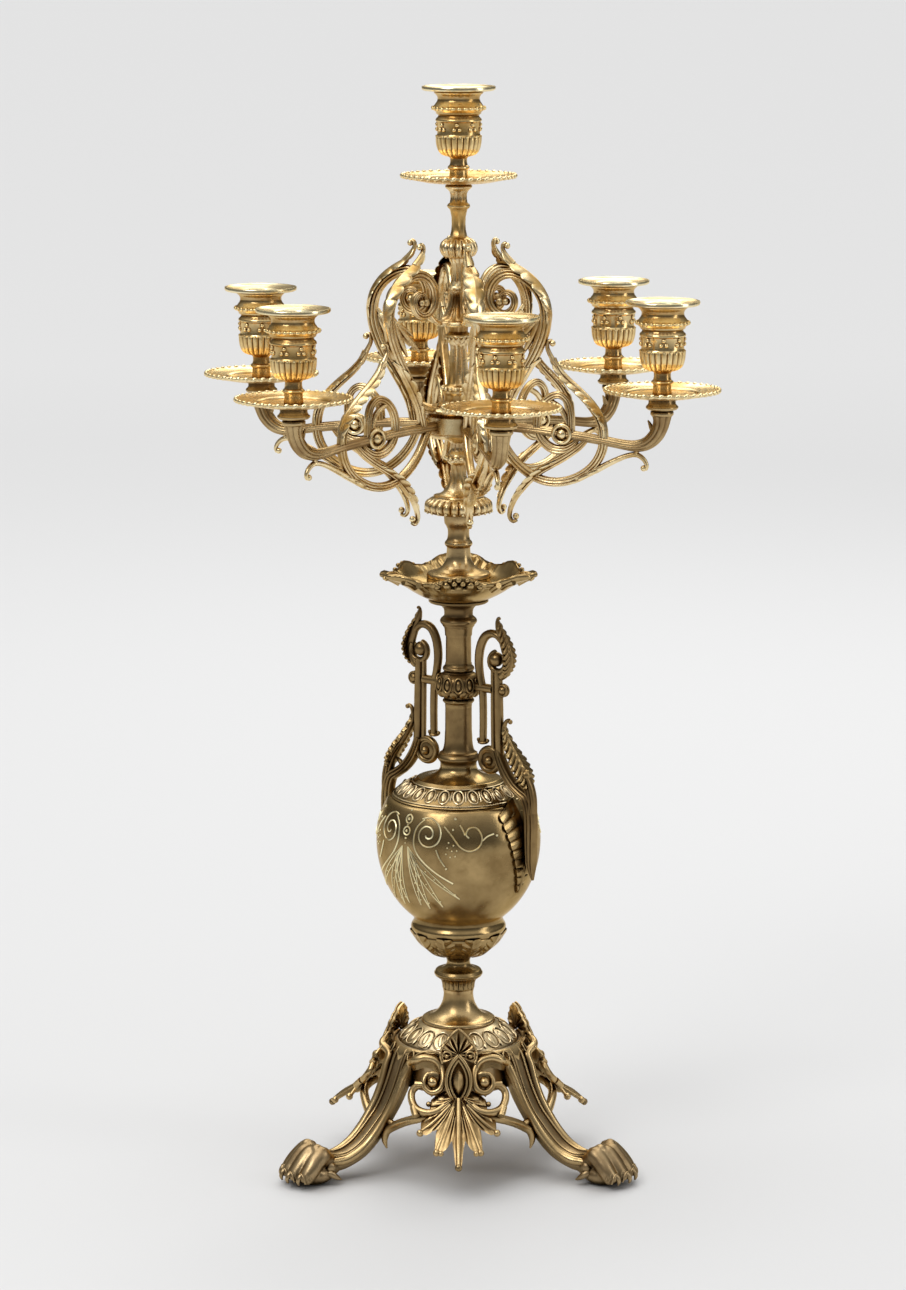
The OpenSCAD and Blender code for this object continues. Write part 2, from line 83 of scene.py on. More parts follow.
def direction(node, step=0.0):
    """Angle about Z of a node's middle, in degrees from +X, rounded to a step if one is given."""
    x, y = middle(node)
    angle = math.degrees(math.atan2(y, x))
    return step * round(angle / step) if step else angle


# ---- forms ----

class Form:
    """Points in millimetres, and the faces that join them."""

    def __init__(self, points, faces):
        self.points = np.asarray(points, dtype=float)
        self.faces = faces

    def moved(self, x=0.0, y=0.0, z=0.0):
        return Form(self.points + np.array([x, y, z]), self.faces)

    def turned(self, degrees):
        return self.rotated(degrees, 0, 1)

    def leaned(self, degrees):
        return self.rotated(degrees, 2, 0)

    def rolled(self, degrees):
        return self.rotated(degrees, 1, 2)

    def rotated(self, degrees, first, second):
        a = math.radians(degrees)
        points = self.points.copy()
        u, v = self.points[:, first], self.points[:, second]
        points[:, first] = u * math.cos(a) - v * math.sin(a)
        points[:, second] = u * math.sin(a) + v * math.cos(a)
        return Form(points, self.faces)

    def sized(self, x, y, z):
        return Form(self.points * np.array([x, y, z]), self.faces)

    def mirrored(self):
        return Form(self.points * np.array([1, -1, 1]), [tuple(reversed(f)) for f in self.faces])


def joined(*forms):
    """One form of many."""
    points, faces, count = [], [], 0
    for form in forms:
        points.append(form.points)
        faces += [tuple(i + count for i in f) for f in form.faces]
        count += len(form.points)
    return Form(np.concatenate(points), faces)


def around(form, count, start=0.0):
    """A form repeated about Z."""
    return joined(*[form.turned(start + 360 * i / count) for i in range(count)])


def skin(grid, caps=True):
    """Form over rows and columns of points, whose columns close into a ring."""
    rows, columns = grid.shape[:2]
    faces = []
    for i in range(rows - 1):
        for j in range(columns):
            k = (j + 1) % columns
            faces.append((i * columns + j, i * columns + k, (i + 1) * columns + k, (i + 1) * columns + j))
    points = grid.reshape(-1, 3)
    if caps:
        centres = np.array([grid[0].mean(axis=0), grid[-1].mean(axis=0)])
        low, high, base = len(points), len(points) + 1, (rows - 1) * columns
        points = np.concatenate([points, centres])
        for j in range(columns):
            k = (j + 1) % columns
            faces.append((low, k, j))
            faces.append((high, base + j, base + k))
    return Form(points, faces)


def heading(points):
    """Unit direction of a path at each of its points."""
    step = np.gradient(points, axis=0)
    return step / np.linalg.norm(step, axis=1)[:, None]


def smooth(rows, steps=6):
    """Smooth curve through rows of values."""
    rows = np.asarray(rows, dtype=float)
    last = len(rows) - 1
    out = []
    for i in range(last):
        a, b, c, d = rows[max(i - 1, 0)], rows[i], rows[i + 1], rows[min(i + 2, last)]
        for j in range(steps):
            t = j / steps
            out.append(0.5 * (2 * b + (c - a) * t + (2 * a - 5 * b + 4 * c - d) * t * t
                              + (3 * b - a - 3 * c + d) * t ** 3))
    out.append(rows[-1])
    return np.array(out)


def spread(rows, count):
    """The same curve with evenly spaced rows."""
    rows = np.asarray(rows, dtype=float)
    step = np.linalg.norm(np.diff(rows[:, :2], axis=0), axis=1)
    along = np.concatenate([[0], np.cumsum(step)])
    at = np.linspace(0, along[-1], count)
    return np.stack([np.interp(at, along, rows[:, k]) for k in range(rows.shape[1])], axis=1)


def plate(front, back):
    """Closed plate between two grids of points."""
    return skin(np.concatenate([front, back[:, ::-1]], axis=1))


def relief(front, back_step):
    """Closed plate whose face is a grid of points and whose back is pushed by back_step."""
    return plate(front, front + np.asarray(back_step, dtype=float))


def ring(r0, r1, z0, z1, steps=8):
    """Half-round moulding."""
    return [(r0 + (r1 - r0) * math.sin(math.pi * i / steps), z0 + (z1 - z0) * i / steps)
            for i in range(steps + 1)]


def cove(r0, z0, r1, z1, steps=12):
    """Quarter curve that leaves level and arrives upright."""
    return [(r0 + (r1 - r0) * math.sin(math.pi / 2 * i / steps),
             z0 + (z1 - z0) * (1 - math.cos(math.pi / 2 * i / steps))) for i in range(steps + 1)]


def flare(r0, z0, r1, z1, steps=12):
    """Quarter curve that leaves upright and arrives level."""
    return [(r0 + (r1 - r0) * (1 - math.cos(math.pi / 2 * i / steps)),
             z0 + (z1 - z0) * math.sin(math.pi / 2 * i / steps)) for i in range(steps + 1)]


def spiral(x, z, r0, r1, a0, a1, w0, w1, steps=40):
    """Rows of x, z and half width along a spiral."""
    t = np.linspace(0, 1, steps + 1)
    r, a = r0 + (r1 - r0) * t, np.radians(a0 + (a1 - a0) * t)
    return np.stack([x + r * np.cos(a), z + r * np.sin(a), w0 + (w1 - w0) * t], axis=1)


def lathe(outline, steps=96, shape=None, caps=True):
    """Turned form. shape(radius, height, angle) may change the radius."""
    outline = np.asarray(outline, dtype=float)
    angle = np.linspace(0, 2 * math.pi, steps, endpoint=False)[None, :]
    r = outline[:, :1] * np.ones_like(angle)
    z = outline[:, 1:2] * np.ones_like(angle)
    if shape is not None:
        r = shape(r, z, angle)
    grid = np.stack([r * np.cos(angle), r * np.sin(angle), z], axis=2)
    return skin(grid, caps=caps)


def window(z, low, high, soft):
    """1 between two heights, falling to 0 over a soft edge."""
    return np.clip((z - low) / soft, 0, 1) * np.clip((high - z) / soft, 0, 1)


def ribs(count, depth, low, high, soft=1.5, power=1.0):
    """Shape for convex ribs with sharp furrows between."""
    def shape(r, z, a):
        wave = np.abs(np.sin(a * count / 2)) ** power
        return r - depth * (1 - wave) * window(z, low, high, soft)
    return shape


def flutes(count, depth, low, high, soft=1.5):
    """Shape for hollow flutes with sharp edges between."""
    def shape(r, z, a):
        wave = np.abs(np.sin(a * count / 2)) ** 0.8
        return r - depth * wave * window(z, low, high, soft)
    return shape


def both(*shapes):
    """One shape after another."""
    def shape(r, z, a):
        for one in shapes:
            r = one(r, z, a)
        return r
    return shape


def ball(r, x=0.0, y=0.0, z=0.0, steps=12):
    """Round bead."""
    rows = []
    for i in range(steps // 2 + 1):
        a = math.pi * (i + 0.25) / (steps / 2 + 0.5)
        rows.append((r * math.sin(a), -r * math.cos(a)))
    return lathe(rows, steps).moved(x, y, z)


def blob(x, y, z, steps):
    """Ball stretched to three half sizes."""
    return ball(1, steps=steps).sized(x, y, z)


def beads(count, bead_r, ring_r, z, start=0.0, steps=10):
    """Row of beads about Z."""
    return around(ball(bead_r, ring_r, 0, z, steps), count, start)


REEDED = "reeded"
ROUND = "round"
SECTION_STEPS = {REEDED: 36, ROUND: 16}
REED_FLOOR = 0.72
REEDS_ACROSS = 3
REEDED_SQUARENESS = 0.45


def section(kind):
    """Closed loop of unit offsets: in the plane of the path, and across it."""
    a = np.linspace(0, 2 * math.pi, SECTION_STEPS[kind], endpoint=False)
    along, across = np.cos(a), np.sin(a)
    if kind == REEDED:
        wave = np.abs(np.sin(REEDS_ACROSS * math.pi * (along + 1) / 2))
        reed = REED_FLOOR + (1 - REED_FLOOR) * wave
        across = np.sign(across) * np.abs(across) ** REEDED_SQUARENESS * reed
    return along, across


def sweep(rows, thick, kind):
    """Bar along rows of x, z, half width; its half thickness follows its half width, up to thick."""
    rows = np.asarray(rows, dtype=float)
    step = heading(rows[:, :2])
    along, across = section(kind)
    half = rows[:, 2][:, None]
    x = rows[:, 0][:, None] - step[:, 1][:, None] * half * along
    z = rows[:, 1][:, None] + step[:, 0][:, None] * half * along
    y = np.minimum(half * 1.15, thick) * across
    return skin(np.stack([x, y, z], axis=2))


def beside(rows, side, ahead, out, across):
    """Grid beside a path of x and z: pushed ahead along it, out to one side of it, and across in Y."""
    step = heading(rows[:, :2])
    x = rows[:, 0][:, None] + step[:, 0][:, None] * ahead - side * step[:, 1][:, None] * out
    z = rows[:, 1][:, None] + step[:, 1][:, None] * ahead + side * step[:, 0][:, None] * out
    return np.stack([x, across, z], axis=2)


LEAF_COLUMNS = 15
LEAF_RAKE = 0.55


def leaf(rows, lobes, side, depth, droop, sheet):
    """Serrated leaf along rows of x, z, half width across. Its face looks to the given side."""
    count = lobes * 9 + 1
    rows = spread(smooth(rows, 5), count)
    u = np.linspace(0, 1, count)[:, None]
    v = np.linspace(-1, 1, LEAF_COLUMNS)[None, :]
    lobe = np.abs(np.sin(math.pi * lobes * u)) ** 0.6
    w = rows[:, 2][:, None] * (1 - depth * (1 - lobe) * (u < 0.999))
    edge = np.abs(v)
    ahead = LEAF_RAKE * w * edge ** 1.4
    ripple = 0.10 * w * (lobe - 0.6) * edge
    rib = 0.35 * np.exp(-(v / 0.13) ** 2) * np.clip(w / 3, 0.2, 1)
    lift = -droop * w * edge ** 1.8 + ripple + rib
    back = lift - sheet * np.clip(w / 3, 0.35, 1) * (1 - 0.6 * edge)
    return plate(beside(rows, side, ahead, lift, w * v), beside(rows, side, ahead, back, w * v))


# ---- materials ----

FACTOR_IN, FIRST_COLOUR_IN, SECOND_COLOUR_IN, COLOUR_OUT = 0, 6, 7, 2


def feed(tree, value, socket):
    """Gives a socket a value, or another node's output."""
    if isinstance(value, bpy.types.NodeSocket):
        tree.links.new(value, socket)
    else:
        socket.default_value = value


def blend_colour(tree, amount, first, second):
    """Mix of two colours or outputs."""
    node = tree.nodes.new("ShaderNodeMix")
    node.data_type = "RGBA"
    node.clamp_factor = True
    feed(tree, amount, node.inputs[FACTOR_IN])
    feed(tree, first, node.inputs[FIRST_COLOUR_IN])
    feed(tree, second, node.inputs[SECOND_COLOUR_IN])
    return node.outputs[COLOUR_OUT]


def sums(tree, operation, *values):
    """Result of a math node on values or outputs."""
    node = tree.nodes.new("ShaderNodeMath")
    node.operation = operation
    for value, socket in zip(values, node.inputs):
        feed(tree, value, socket)
    return node.outputs[0]


def ramp(tree, source, low, high, start=0.0, end=1.0):
    """Source stretched so that low becomes start and high becomes end."""
    node = tree.nodes.new("ShaderNodeMapRange")
    for value, socket in zip((source, low, high, start, end), node.inputs):
        feed(tree, value, socket)
    return node.outputs[0]


def noise(tree, place, scale, detail, rough):
    """Noise over the object's own coordinates."""
    node = tree.nodes.new("ShaderNodeTexNoise")
    tree.links.new(place, node.inputs["Vector"])
    node.inputs["Scale"].default_value = scale
    node.inputs["Detail"].default_value = detail
    node.inputs["Roughness"].default_value = rough
    return node.outputs["Fac"]


def rgb(red, green, blue):
    """Opaque colour."""
    return (red, green, blue, 1.0)


VERDIGRIS = rgb(0.10, 0.36, 0.20)
EDGE_TINT = rgb(1.0, 0.86, 0.62)
# Occlusion range over which the recess colour comes in: dirt together with painted shade.
RECESS_RANGE = (0.96, 0.48)
GRAIN_MM = 0.15


def brass(name, bright, dull, recess, rough, patches=(0.42, 0.62), patch_scale=45.0,
          recess_mm=4.0, recess_power=0.9, grain=0.25, green=0.0):
    """Aged brass: bright metal, dull patches, worn edges, and dirt with painted shade in the recesses and
    creases.
    """
    material = bpy.data.materials.new(name)
    material.use_nodes = True
    tree = material.node_tree
    shader = tree.nodes["Principled BSDF"]
    place = tree.nodes.new("ShaderNodeTexCoord").outputs["Object"]
    patch = ramp(tree, noise(tree, place, patch_scale, 6.0, 0.6), *patches)
    cloud = noise(tree, place, patch_scale * 3.7, 4.0, 0.6)
    speck = noise(tree, place, 900.0, 3.0, 0.7)
    colour = blend_colour(tree, patch, bright, dull)
    colour = blend_colour(tree, ramp(tree, cloud, 0.55, 0.8), colour, dull)
    bend = tree.nodes.new("ShaderNodeNewGeometry").outputs["Pointiness"]
    worn = [min(1.0, 1.12 * level) for level in bright[:3]]
    colour = blend_colour(tree, ramp(tree, bend, 0.52, 0.60), colour, rgb(*worn))
    # Concave creases take the recess colour: painted shade in flutes and furrows, partly dirt.
    colour = blend_colour(tree, ramp(tree, bend, 0.49, 0.42), colour, recess)
    # Ambient occlusion paints the recess colour into hollows: partly dirt, partly painted shade where light
    # is blocked.
    hollow = tree.nodes.new("ShaderNodeAmbientOcclusion")
    hollow.samples = 8
    hollow.inputs["Distance"].default_value = recess_mm * MM
    dirt_and_painted_shade = sums(tree, "MULTIPLY", ramp(tree, hollow.outputs["AO"], *RECESS_RANGE), recess_power)
    colour = blend_colour(tree, dirt_and_painted_shade, colour, recess)
    if green > 0:
        spots = ramp(tree, noise(tree, place, 160.0, 5.0, 0.6), 0.56, 0.64)
        colour = blend_colour(tree, sums(tree, "MULTIPLY", spots, green), colour, VERDIGRIS)
    tree.links.new(colour, shader.inputs["Base Color"])
    shader.inputs["Metallic"].default_value = 1.0
    shader.inputs["Specular Tint"].default_value = EDGE_TINT
    wear = sums(tree, "MULTIPLY_ADD", cloud, 0.5, patch)
    tree.links.new(ramp(tree, wear, 0.0, 1.5, *rough), shader.inputs["Roughness"])
    bump = tree.nodes.new("ShaderNodeBump")
    bump.inputs["Strength"].default_value = grain
    bump.inputs["Distance"].default_value = GRAIN_MM * MM
    tree.links.new(speck, bump.inputs["Height"])
    tree.links.new(bump.outputs[0], shader.inputs["Normal"])
    return material


# The recess colours here are dirt and painted shade; the gilts' 8 mm reach paints the shade under the liners'
# flanges and among crowded scrolls.
MATERIALS = {
    "bright_gilt": brass("bright_gilt", rgb(0.92, 0.71, 0.36), rgb(0.66, 0.42, 0.14), rgb(0.20, 0.085, 0.014),
                         rough=(0.15, 0.29), recess_mm=8.0, recess_power=1.0, grain=0.2),
    "arm_gilt": brass("arm_gilt", rgb(0.94, 0.76, 0.45), rgb(0.55, 0.35, 0.12), rgb(0.24, 0.115, 0.024),
                      rough=(0.19, 0.35), recess_mm=8.0, recess_power=1.0, grain=0.3),
    "stand_brass": brass("stand_brass", rgb(0.57, 0.41, 0.20), rgb(0.37, 0.25, 0.11), rgb(0.12, 0.058, 0.016),
                         rough=(0.20, 0.38), recess_mm=5.5, recess_power=1.0, grain=0.3),
    "old_brass": brass("old_brass", rgb(0.44, 0.31, 0.14), rgb(0.23, 0.15, 0.06), rgb(0.055, 0.03, 0.01),
                       rough=(0.15, 0.33), patches=(0.38, 0.66), patch_scale=28.0, recess_mm=5.0, grain=0.2),
    "iron": brass("iron", rgb(0.16, 0.15, 0.14), rgb(0.10, 0.09, 0.08), rgb(0.03, 0.02, 0.02),
                  rough=(0.4, 0.6), grain=0.4),
}
BAR_BRASS = brass("bar_brass", rgb(0.52, 0.38, 0.19), rgb(0.31, 0.20, 0.09), rgb(0.08, 0.04, 0.012),
                  rough=(0.20, 0.36), recess_mm=5.0, recess_power=1.0, grain=0.25)
DARK_BRASS = brass("dark_brass", rgb(0.30, 0.20, 0.085), rgb(0.17, 0.105, 0.045), rgb(0.045, 0.024, 0.01),
                   rough=(0.25, 0.41), patches=(0.38, 0.66), patch_scale=34.0, recess_mm=4.0, grain=0.25)
CAST_BRASS = brass("cast_brass", rgb(0.40, 0.29, 0.155), rgb(0.24, 0.16, 0.08), rgb(0.05, 0.03, 0.012),
                   rough=(0.26, 0.46), recess_mm=5.0, recess_power=1.0, grain=0.6)
PALE_BRASS = brass("pale_brass", rgb(0.74, 0.60, 0.37), rgb(0.52, 0.39, 0.20), rgb(0.13, 0.07, 0.025),
                   rough=(0.24, 0.38), recess_mm=2.5, recess_power=0.9, grain=0.3)
ENGRAVED = brass("engraved_line", rgb(0.95, 0.82, 0.52), rgb(0.80, 0.63, 0.34), rgb(0.60, 0.42, 0.20),
                 rough=(0.26, 0.38), recess_mm=0.6, recess_power=0.3, grain=0.1)
LINER_INSIDE = brass("liner_patina", rgb(0.97, 0.83, 0.55), rgb(0.82, 0.65, 0.36), rgb(0.20, 0.11, 0.03),
                     rough=(0.18, 0.32), recess_mm=4.0, grain=0.2, green=0.22)


# ---- pieces ----

def linked(name, data):
    """New object in the scene for some data."""
    thing = bpy.data.objects.new(name, data)
    bpy.context.scene.collection.objects.link(thing)
    return thing


def mesh_piece(name, form, material, sharp=38.0):
    """Blender object for a form, smooth but for its sharp edges."""
    mesh = bpy.data.meshes.new(name)
    mesh.from_pydata((form.points * MM).tolist(), [], form.faces)
    work = bmesh.new()
    work.from_mesh(mesh)
    bmesh.ops.recalc_face_normals(work, faces=work.faces)
    work.to_mesh(mesh)
    work.free()
    mesh.shade_smooth()
    mesh.set_sharp_from_angle(angle=math.radians(sharp))
    mesh.materials.append(material)
    return linked(name, mesh)


def place(node, form, material=None, sharp=38.0):
    """Shows a form in place of a CAD node."""
    piece = mesh_piece(node + "_form", form, material or MATERIALS[SLOT_OF[node]], sharp)
    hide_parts(node)
    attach(piece, BODY_OF[node])
    return piece


def trim(node, name, form, material, sharp=38.0):
    """Shows a further piece that belongs to a CAD node."""
    piece = mesh_piece(name, form, material, sharp)
    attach(piece, BODY_OF[node])
    return piece


def place_turned(node, outline, steps=96, shape=None, extra=None, material=None):
    """Shows a turned form that stands on its node's foot."""
    form = lathe(outline, steps, shape)
    if extra is not None:
        form = joined(form, extra)
    return place(node, form.moved(z=foot_z(node)), material)


# ---- lights: liner, nozzle and pan, heights from the flange's top ----

def liner_form():
    """Loose candle liner: a flanged tube with a closed foot, its flange top at height 0."""
    tube_r, socket_r, floor = 11.5, 11.0, -25.0
    outline = [
        (AXIS_R, floor - 1), (tube_r, floor - 1), (tube_r, -3.4), (12.6, -3.0), (15.6, -3.0), (20.8, -2.7),
        (21.8, -2.3), (22.3, -1.6), (22.3, -0.5), (22.1, -0.1), (21.6, 0.0), (21.1, -0.15), (20.2, -0.7),
        (16, -1.5), (12.6, -1.9), (11.5, -2.4), (socket_r, -3.2), (socket_r, floor), (AXIS_R, floor)
    ]
    return lathe(outline, 72)


def nozzle_form():
    """Candle nozzle with beads and flutes, under a liner whose flange top is at height 0."""
    outline = (
        [(AXIS_R, -56.4), (5.8, -56.4), (5.9, -55.4), (5.5, -52.6), (5.5, -50.6)]
        + ring(5.5, 6.7, -50.2, -47.4) + [(5.1, -45.6), (5.1, -43.4), (6.0, -42.4)]
        + list(smooth([(7.6, -42), (10.4, -41), (12.4, -38.8), (13.5, -35.4), (13.9, -32), (13.9, -30.6)], 5))
        + [(13.7, -29.9), (13.1, -29.3), (12.9, -28.4), (12.95, -22.4), (13.1, -21.6), (13.9, -20.9),
           (14.0, -20.3), (13.6, -19.4), (12.5, -18.4), (12.3, -17.6), (12.7, -17.0), (13.6, -16.4),
           (13.7, -15.6), (14.6, -14.9)]
        + ring(14.9, 15.9, -14.4, -11.8) + [(14.5, -11.2), (13.9, -10.3), (13.2, -9.4), (12.7, -7.8),
           (12.8, -6.6), (13.6, -5.2), (14.7, -4.3), (15.0, -3.7), (14.8, -3.06), (11.6, -3.06),
           (11.56, -26.3), (AXIS_R, -26.3)])
    body = lathe(outline, 132, ribs(22, 1.0, -42.4, -29.9, 0.7, 0.5))
    tips = beads(22, 0.85, 13.3, -30.1, 360 / 44, 8)
    row = around(blob(1.2, 1.55, 1.25, 10).moved(15.6, 0, -13.1), 26)
    berry = joined(ball(1.35, 12.9, 0, -22.9), ball(1.35, 12.8, 1.6, -25.7), ball(1.35, 12.8, -1.6, -25.7))
    return joined(body, tips, row, around(berry, 8, 11))


def pan_form():
    """Drip pan with a notched rim, under the nozzle."""
    outline = [
        (3.06, -57.95), (14, -57.95), (20, -57.7), (24, -56.9), (32.6, -55.2), (34.4, -54.6), (35.0, -53.9),
        (35.0, -53.3), (34.2, -52.9), (33.0, -53.3), (30, -54.1), (25, -54.8), (22.2, -55.0), (21.6, -55.3),
        (21.0, -56.1), (19.5, -56.45), (12, -56.5), (3.06, -56.5)
    ]
    disc = lathe(outline + outline[:1], 96, caps=False)
    rope = blob(1.3, 2.1, 1.3, 10).rolled(24).moved(34.3, 0, -53.7)
    return joined(disc, around(rope, 42))


LIGHT_TURN_STEP = 17


def build_lights():
    """The seven liners, nozzles and pans."""
    liner, nozzle, pan = liner_form(), nozzle_form(), pan_form()
    for i in range(1, 8):
        x, y = middle(f"liner_{i}")
        z = top_z(f"liner_{i}")
        turn = LIGHT_TURN_STEP * i
        place(f"liner_{i}", liner.moved(x, y, z), LINER_INSIDE, LINER_SHARP)
        place(f"nozzle_{i}", nozzle.turned(turn).moved(x, y, z))
        place(f"pan_{i}", pan.turned(turn).moved(x, y, z))


# ---- the turned stack of the branches ----

def build_branch_stack():
    """The turned pieces over the dish."""
    place_turned(
        "branch_stem",
        [(AXIS_R, 0), (19.5, 0), (19.5, 1.2), (19.1, 2.3), (18.6, 2.6)] + cove(18.2, 2.8, 7.4, 14)
        + [(7.2, 17)] + ring(7.2, 8.6, 18.2, 22.8)
        + [(6.7, 24.6), (6.5, 27), (6.7, 29.4), (7.6, 31.5), (8.6, 33), (8.9, 36), (9, 38.5), (AXIS_R, 38.5)])
    collar = list(smooth([(16.8, 0.8), (19.6, 1.8), (21, 4.6), (20.4, 7.6), (18, 9.6), (16.4, 10.4)], 5))
    place_turned(
        "gadroon_collar",
        [(AXIS_R, 0), (9, 0), (9.6, 0.3), (16, 0.5)] + collar + [(15.6, 10.8), (15.4, 11.4)]
        + cove(15.2, 11.8, 4.8, 27) + [(4.7, 30.4), (5.6, 31.4)] + ring(6.4, 7.6, 31.8, 38)
        + [(5.6, 38.6), (4.9, 40), (4.8, 43.6), (5.8, 45), (8.8, 46.4), (AXIS_R, 46.4)],
        144, both(ribs(24, 1.8, 0.8, 10.4, 1.0, 0.6), flutes(10, 0.7, 14, 30, 3)),
        joined(beads(14, 1.5, 7.6, 34.9), beads(24, 0.9, 20.4, 2.2, 7.5)))
    place_turned(
        "arm_hub",
        [(AXIS_R, 0), (9, 0), (16, 1.2), (17.6, 2.2), (18.6, 3.4), (18.6, 4.2), (19.5, 4.8), (19.5, 14.4),
         (18.8, 14.9), (18.2, 15.6), (18.6, 16.2), (20, 16.8), (21, 17.5), (21, 18.8), (20.4, 19.5),
         (19.6, 20), (AXIS_R, 20)])
    place_turned(
        "upper_column",
        [(AXIS_R, 0), (13, 0), (13.2, 1), (12.4, 2.2), (9.8, 3), (8.9, 3.8), (8.9, 6.6)]
        + ring(9.2, 10, 7.6, 12.4)
        + [(8.4, 12.8), (7.2, 13.3), (6.4, 15), (5.9, 22), (5.1, 35), (5.2, 37), (5.9, 39), (6.3, 40.6)]
        + ring(6.4, 7.8, 41.6, 45) + [(6.0, 45.4), (5.6, 46), (5.8, 48.6), (6.2, 50), (AXIS_R, 50)],
        144, both(flutes(10, 1.1, 14.2, 39, 1.5), flutes(12, 0.7, 45.6, 49.6, 0.6)),
        joined(beads(18, 1.35, 9.8, 11.4), beads(16, 0.9, 7.6, 41.8)))
    place_turned(
        "fluted_bell",
        [(AXIS_R, 0), (14.2, 0), (14.8, 0.6), (14.9, 1.8), (14.4, 2.5)] + cove(14.2, 2.8, 5.2, 21.4, 20)
        + [(5.9, 22.0), (6.0, 22.8), (5.1, 24), (AXIS_R, 24)],
        160, flutes(16, 1.5, 2.6, 21.2, 2))
    place_turned(
        "finial_stem",
        [(AXIS_R, 0), (5.2, 0), (4.8, 1.6), (4.6, 3), (4.6, 13.4), (5.4, 14.6), (5.6, 15.8), (6, 16.6)]
        + list(smooth([(7.4, 17), (10.2, 18.4), (11.8, 22), (11.0, 25.6), (8.4, 28), (6.4, 28.8)], 5))
        + [(5.2, 30), (4.4, 33.5), (4.2, 37), (4.3, 41.5), (5, 44.6)] + ring(5.4, 7, 46, 50)
        + [(5.2, 50.8), (5, 52), (5, 55), (5.6, 56.8), (6.6, 57.8)] + ring(7.2, 8.2, 58.2, 61.2)
        + [(7.4, 61.9), (3, 62), (3, 74.4), (AXIS_R, 74.4)],
        144, both(ribs(14, 1.7, 17, 28.6, 1.2, 0.6), flutes(10, 0.8, 2, 13.4, 1),
                  flutes(10, 0.8, 50.8, 57, 1), flutes(8, 0.6, 31, 45, 3)))


# ---- the turned stack of the stand ----

def build_stand_stack():
    """The turned pieces from the foot to the seat of the dish."""
    place_turned(
        "column_upper",
        [(AXIS_R, 0), (8.0, 0), (7.9, 1), (7.8, 16.6), (8.3, 17.4)] + flare(8.4, 17.8, 9.6, 23)
        + [(9.9, 23.6)] + ring(10.2, 11.5, 24.2, 28.6)
        + [(9.3, 29.2), (8.8, 30.2), (8.9, 32.6), (9.4, 34.2), (11, 36), (13.4, 37.2), (17.6, 37.9),
           (18.4, 38.5), (18.4, 39.6), (17.8, 40), (AXIS_R, 40)],
        material=DARK_BRASS)
    place_turned(
        "column_knop",
        [(AXIS_R, 0), (8.3, 0), (8.4, 1.4)] + ring(8.6, 9.8, 1.8, 5) + [(9.1, 5.8), (9.3, 6.6)]
        + list(smooth([(10, 7), (12.8, 9), (13.9, 13), (13.2, 17.2), (11, 20), (9.6, 20.8)], 5))
        + [(9.2, 21.3)] + ring(8.7, 9.8, 21.8, 25.4) + [(8.3, 26), (8.2, 27), (AXIS_R, 27)], 144,
        None, knop_leaves(), DARK_BRASS)
    place_turned(
        "column_lower",
        [(AXIS_R, 0), (11.2, 0), (11.3, 1.6)] + ring(11.6, 13, 2, 7) + [(11.8, 7.5)]
        + cove(11.2, 7.9, 8.6, 17)
        + [(8.3, 22), (8.2, 36), (8.3, 37), (AXIS_R, 37)], material=DARK_BRASS)
    place_turned(
        "urn_shoulder",
        [(AXIS_R, 0), (41.2, 0), (41.4, 0.5), (40.6, 1.2)]
        + list(smooth([(39.8, 1.6), (36.2, 4.9), (32.0, 7.7), (28.6, 9.3)], 6))
        + [(27.8, 9.9), (27.4, 10.6), (26.6, 11.0), (26.2, 11.6)] + cove(25.9, 11.8, 11.3, 19.2, 14)
        + [(11.2, 20), (AXIS_R, 20)], 128)
    trim("urn_shoulder", "urn_shoulder_eggs", egg_band().moved(z=foot_z("urn_shoulder")), PALE_BRASS)
    place_turned("urn_body", globe_outline(), 160)
    place_turned(
        "urn_cup",
        [(AXIS_R, 0), (7.2, 0), (7.6, 1.6), (8.6, 2.6)] + list(smooth(
            [(9.4, 3), (14.2, 5.1), (19.6, 8), (23.8, 12), (26.6, 15.6), (28.0, 18)], 6))
        + [(28.2, 18.6), (27.8, 19.2)] + ring(28.2, 29.6, 19.6, 25.6)
        + [(28, 26.3), (27.6, 27.4), (27.8, 28.8), (29.4, 30.4), (29.9, 30.9), (AXIS_R, 30.9)],
        144, None, calyx_leaves())
    place_turned(
        "lower_knop",
        [(AXIS_R, 0), (9.7, 0), (9.9, 0.8)] + flare(10.1, 1.2, 13.0, 7.6) + [(13.4, 8.2), (14.4, 8.7)]
        + ring(14.4, 15.2, 9, 11.8) + [(14.2, 12.4)] + cove(13.6, 12.8, 7.2, 17.4)
        + [(7.2, 18.1), (AXIS_R, 18.1)], 144, ribs(20, 0.9, 1.4, 8.0, 1.2, 0.6))
    place_turned(
        "foot_trumpet",
        [(AXIS_R, 0), (22.8, 0), (23, 1), (22.7, 2.0), (22.2, 2.4)] + cove(21.8, 2.6, 9.2, 18, 16)
        + [(9.2, 18.4), (9.7, 20.6), (AXIS_R, 20.6)])


GLOBE_R = 51.0
GLOBE_Z = 206.0
GLOBE_LOW_HALF = 58.5
GLOBE_MIDDLE = 47.4


def globe_outline():
    """Outline of the urn's globe, which is longer under its widest line than over it."""
    low = [(GLOBE_R * math.sqrt(1 - ((z - GLOBE_MIDDLE) / GLOBE_LOW_HALF) ** 2), z)
           for z in np.linspace(0, GLOBE_MIDDLE, 24)]
    high = [(GLOBE_R * math.sqrt(1 - ((z - GLOBE_MIDDLE) / GLOBE_R) ** 2), z)
            for z in np.linspace(49.4, 73.0, 14)]
    return [(AXIS_R, 0)] + low + high + [(43.4, 73.6), (41.4, 74.4), (AXIS_R, 74.4)]


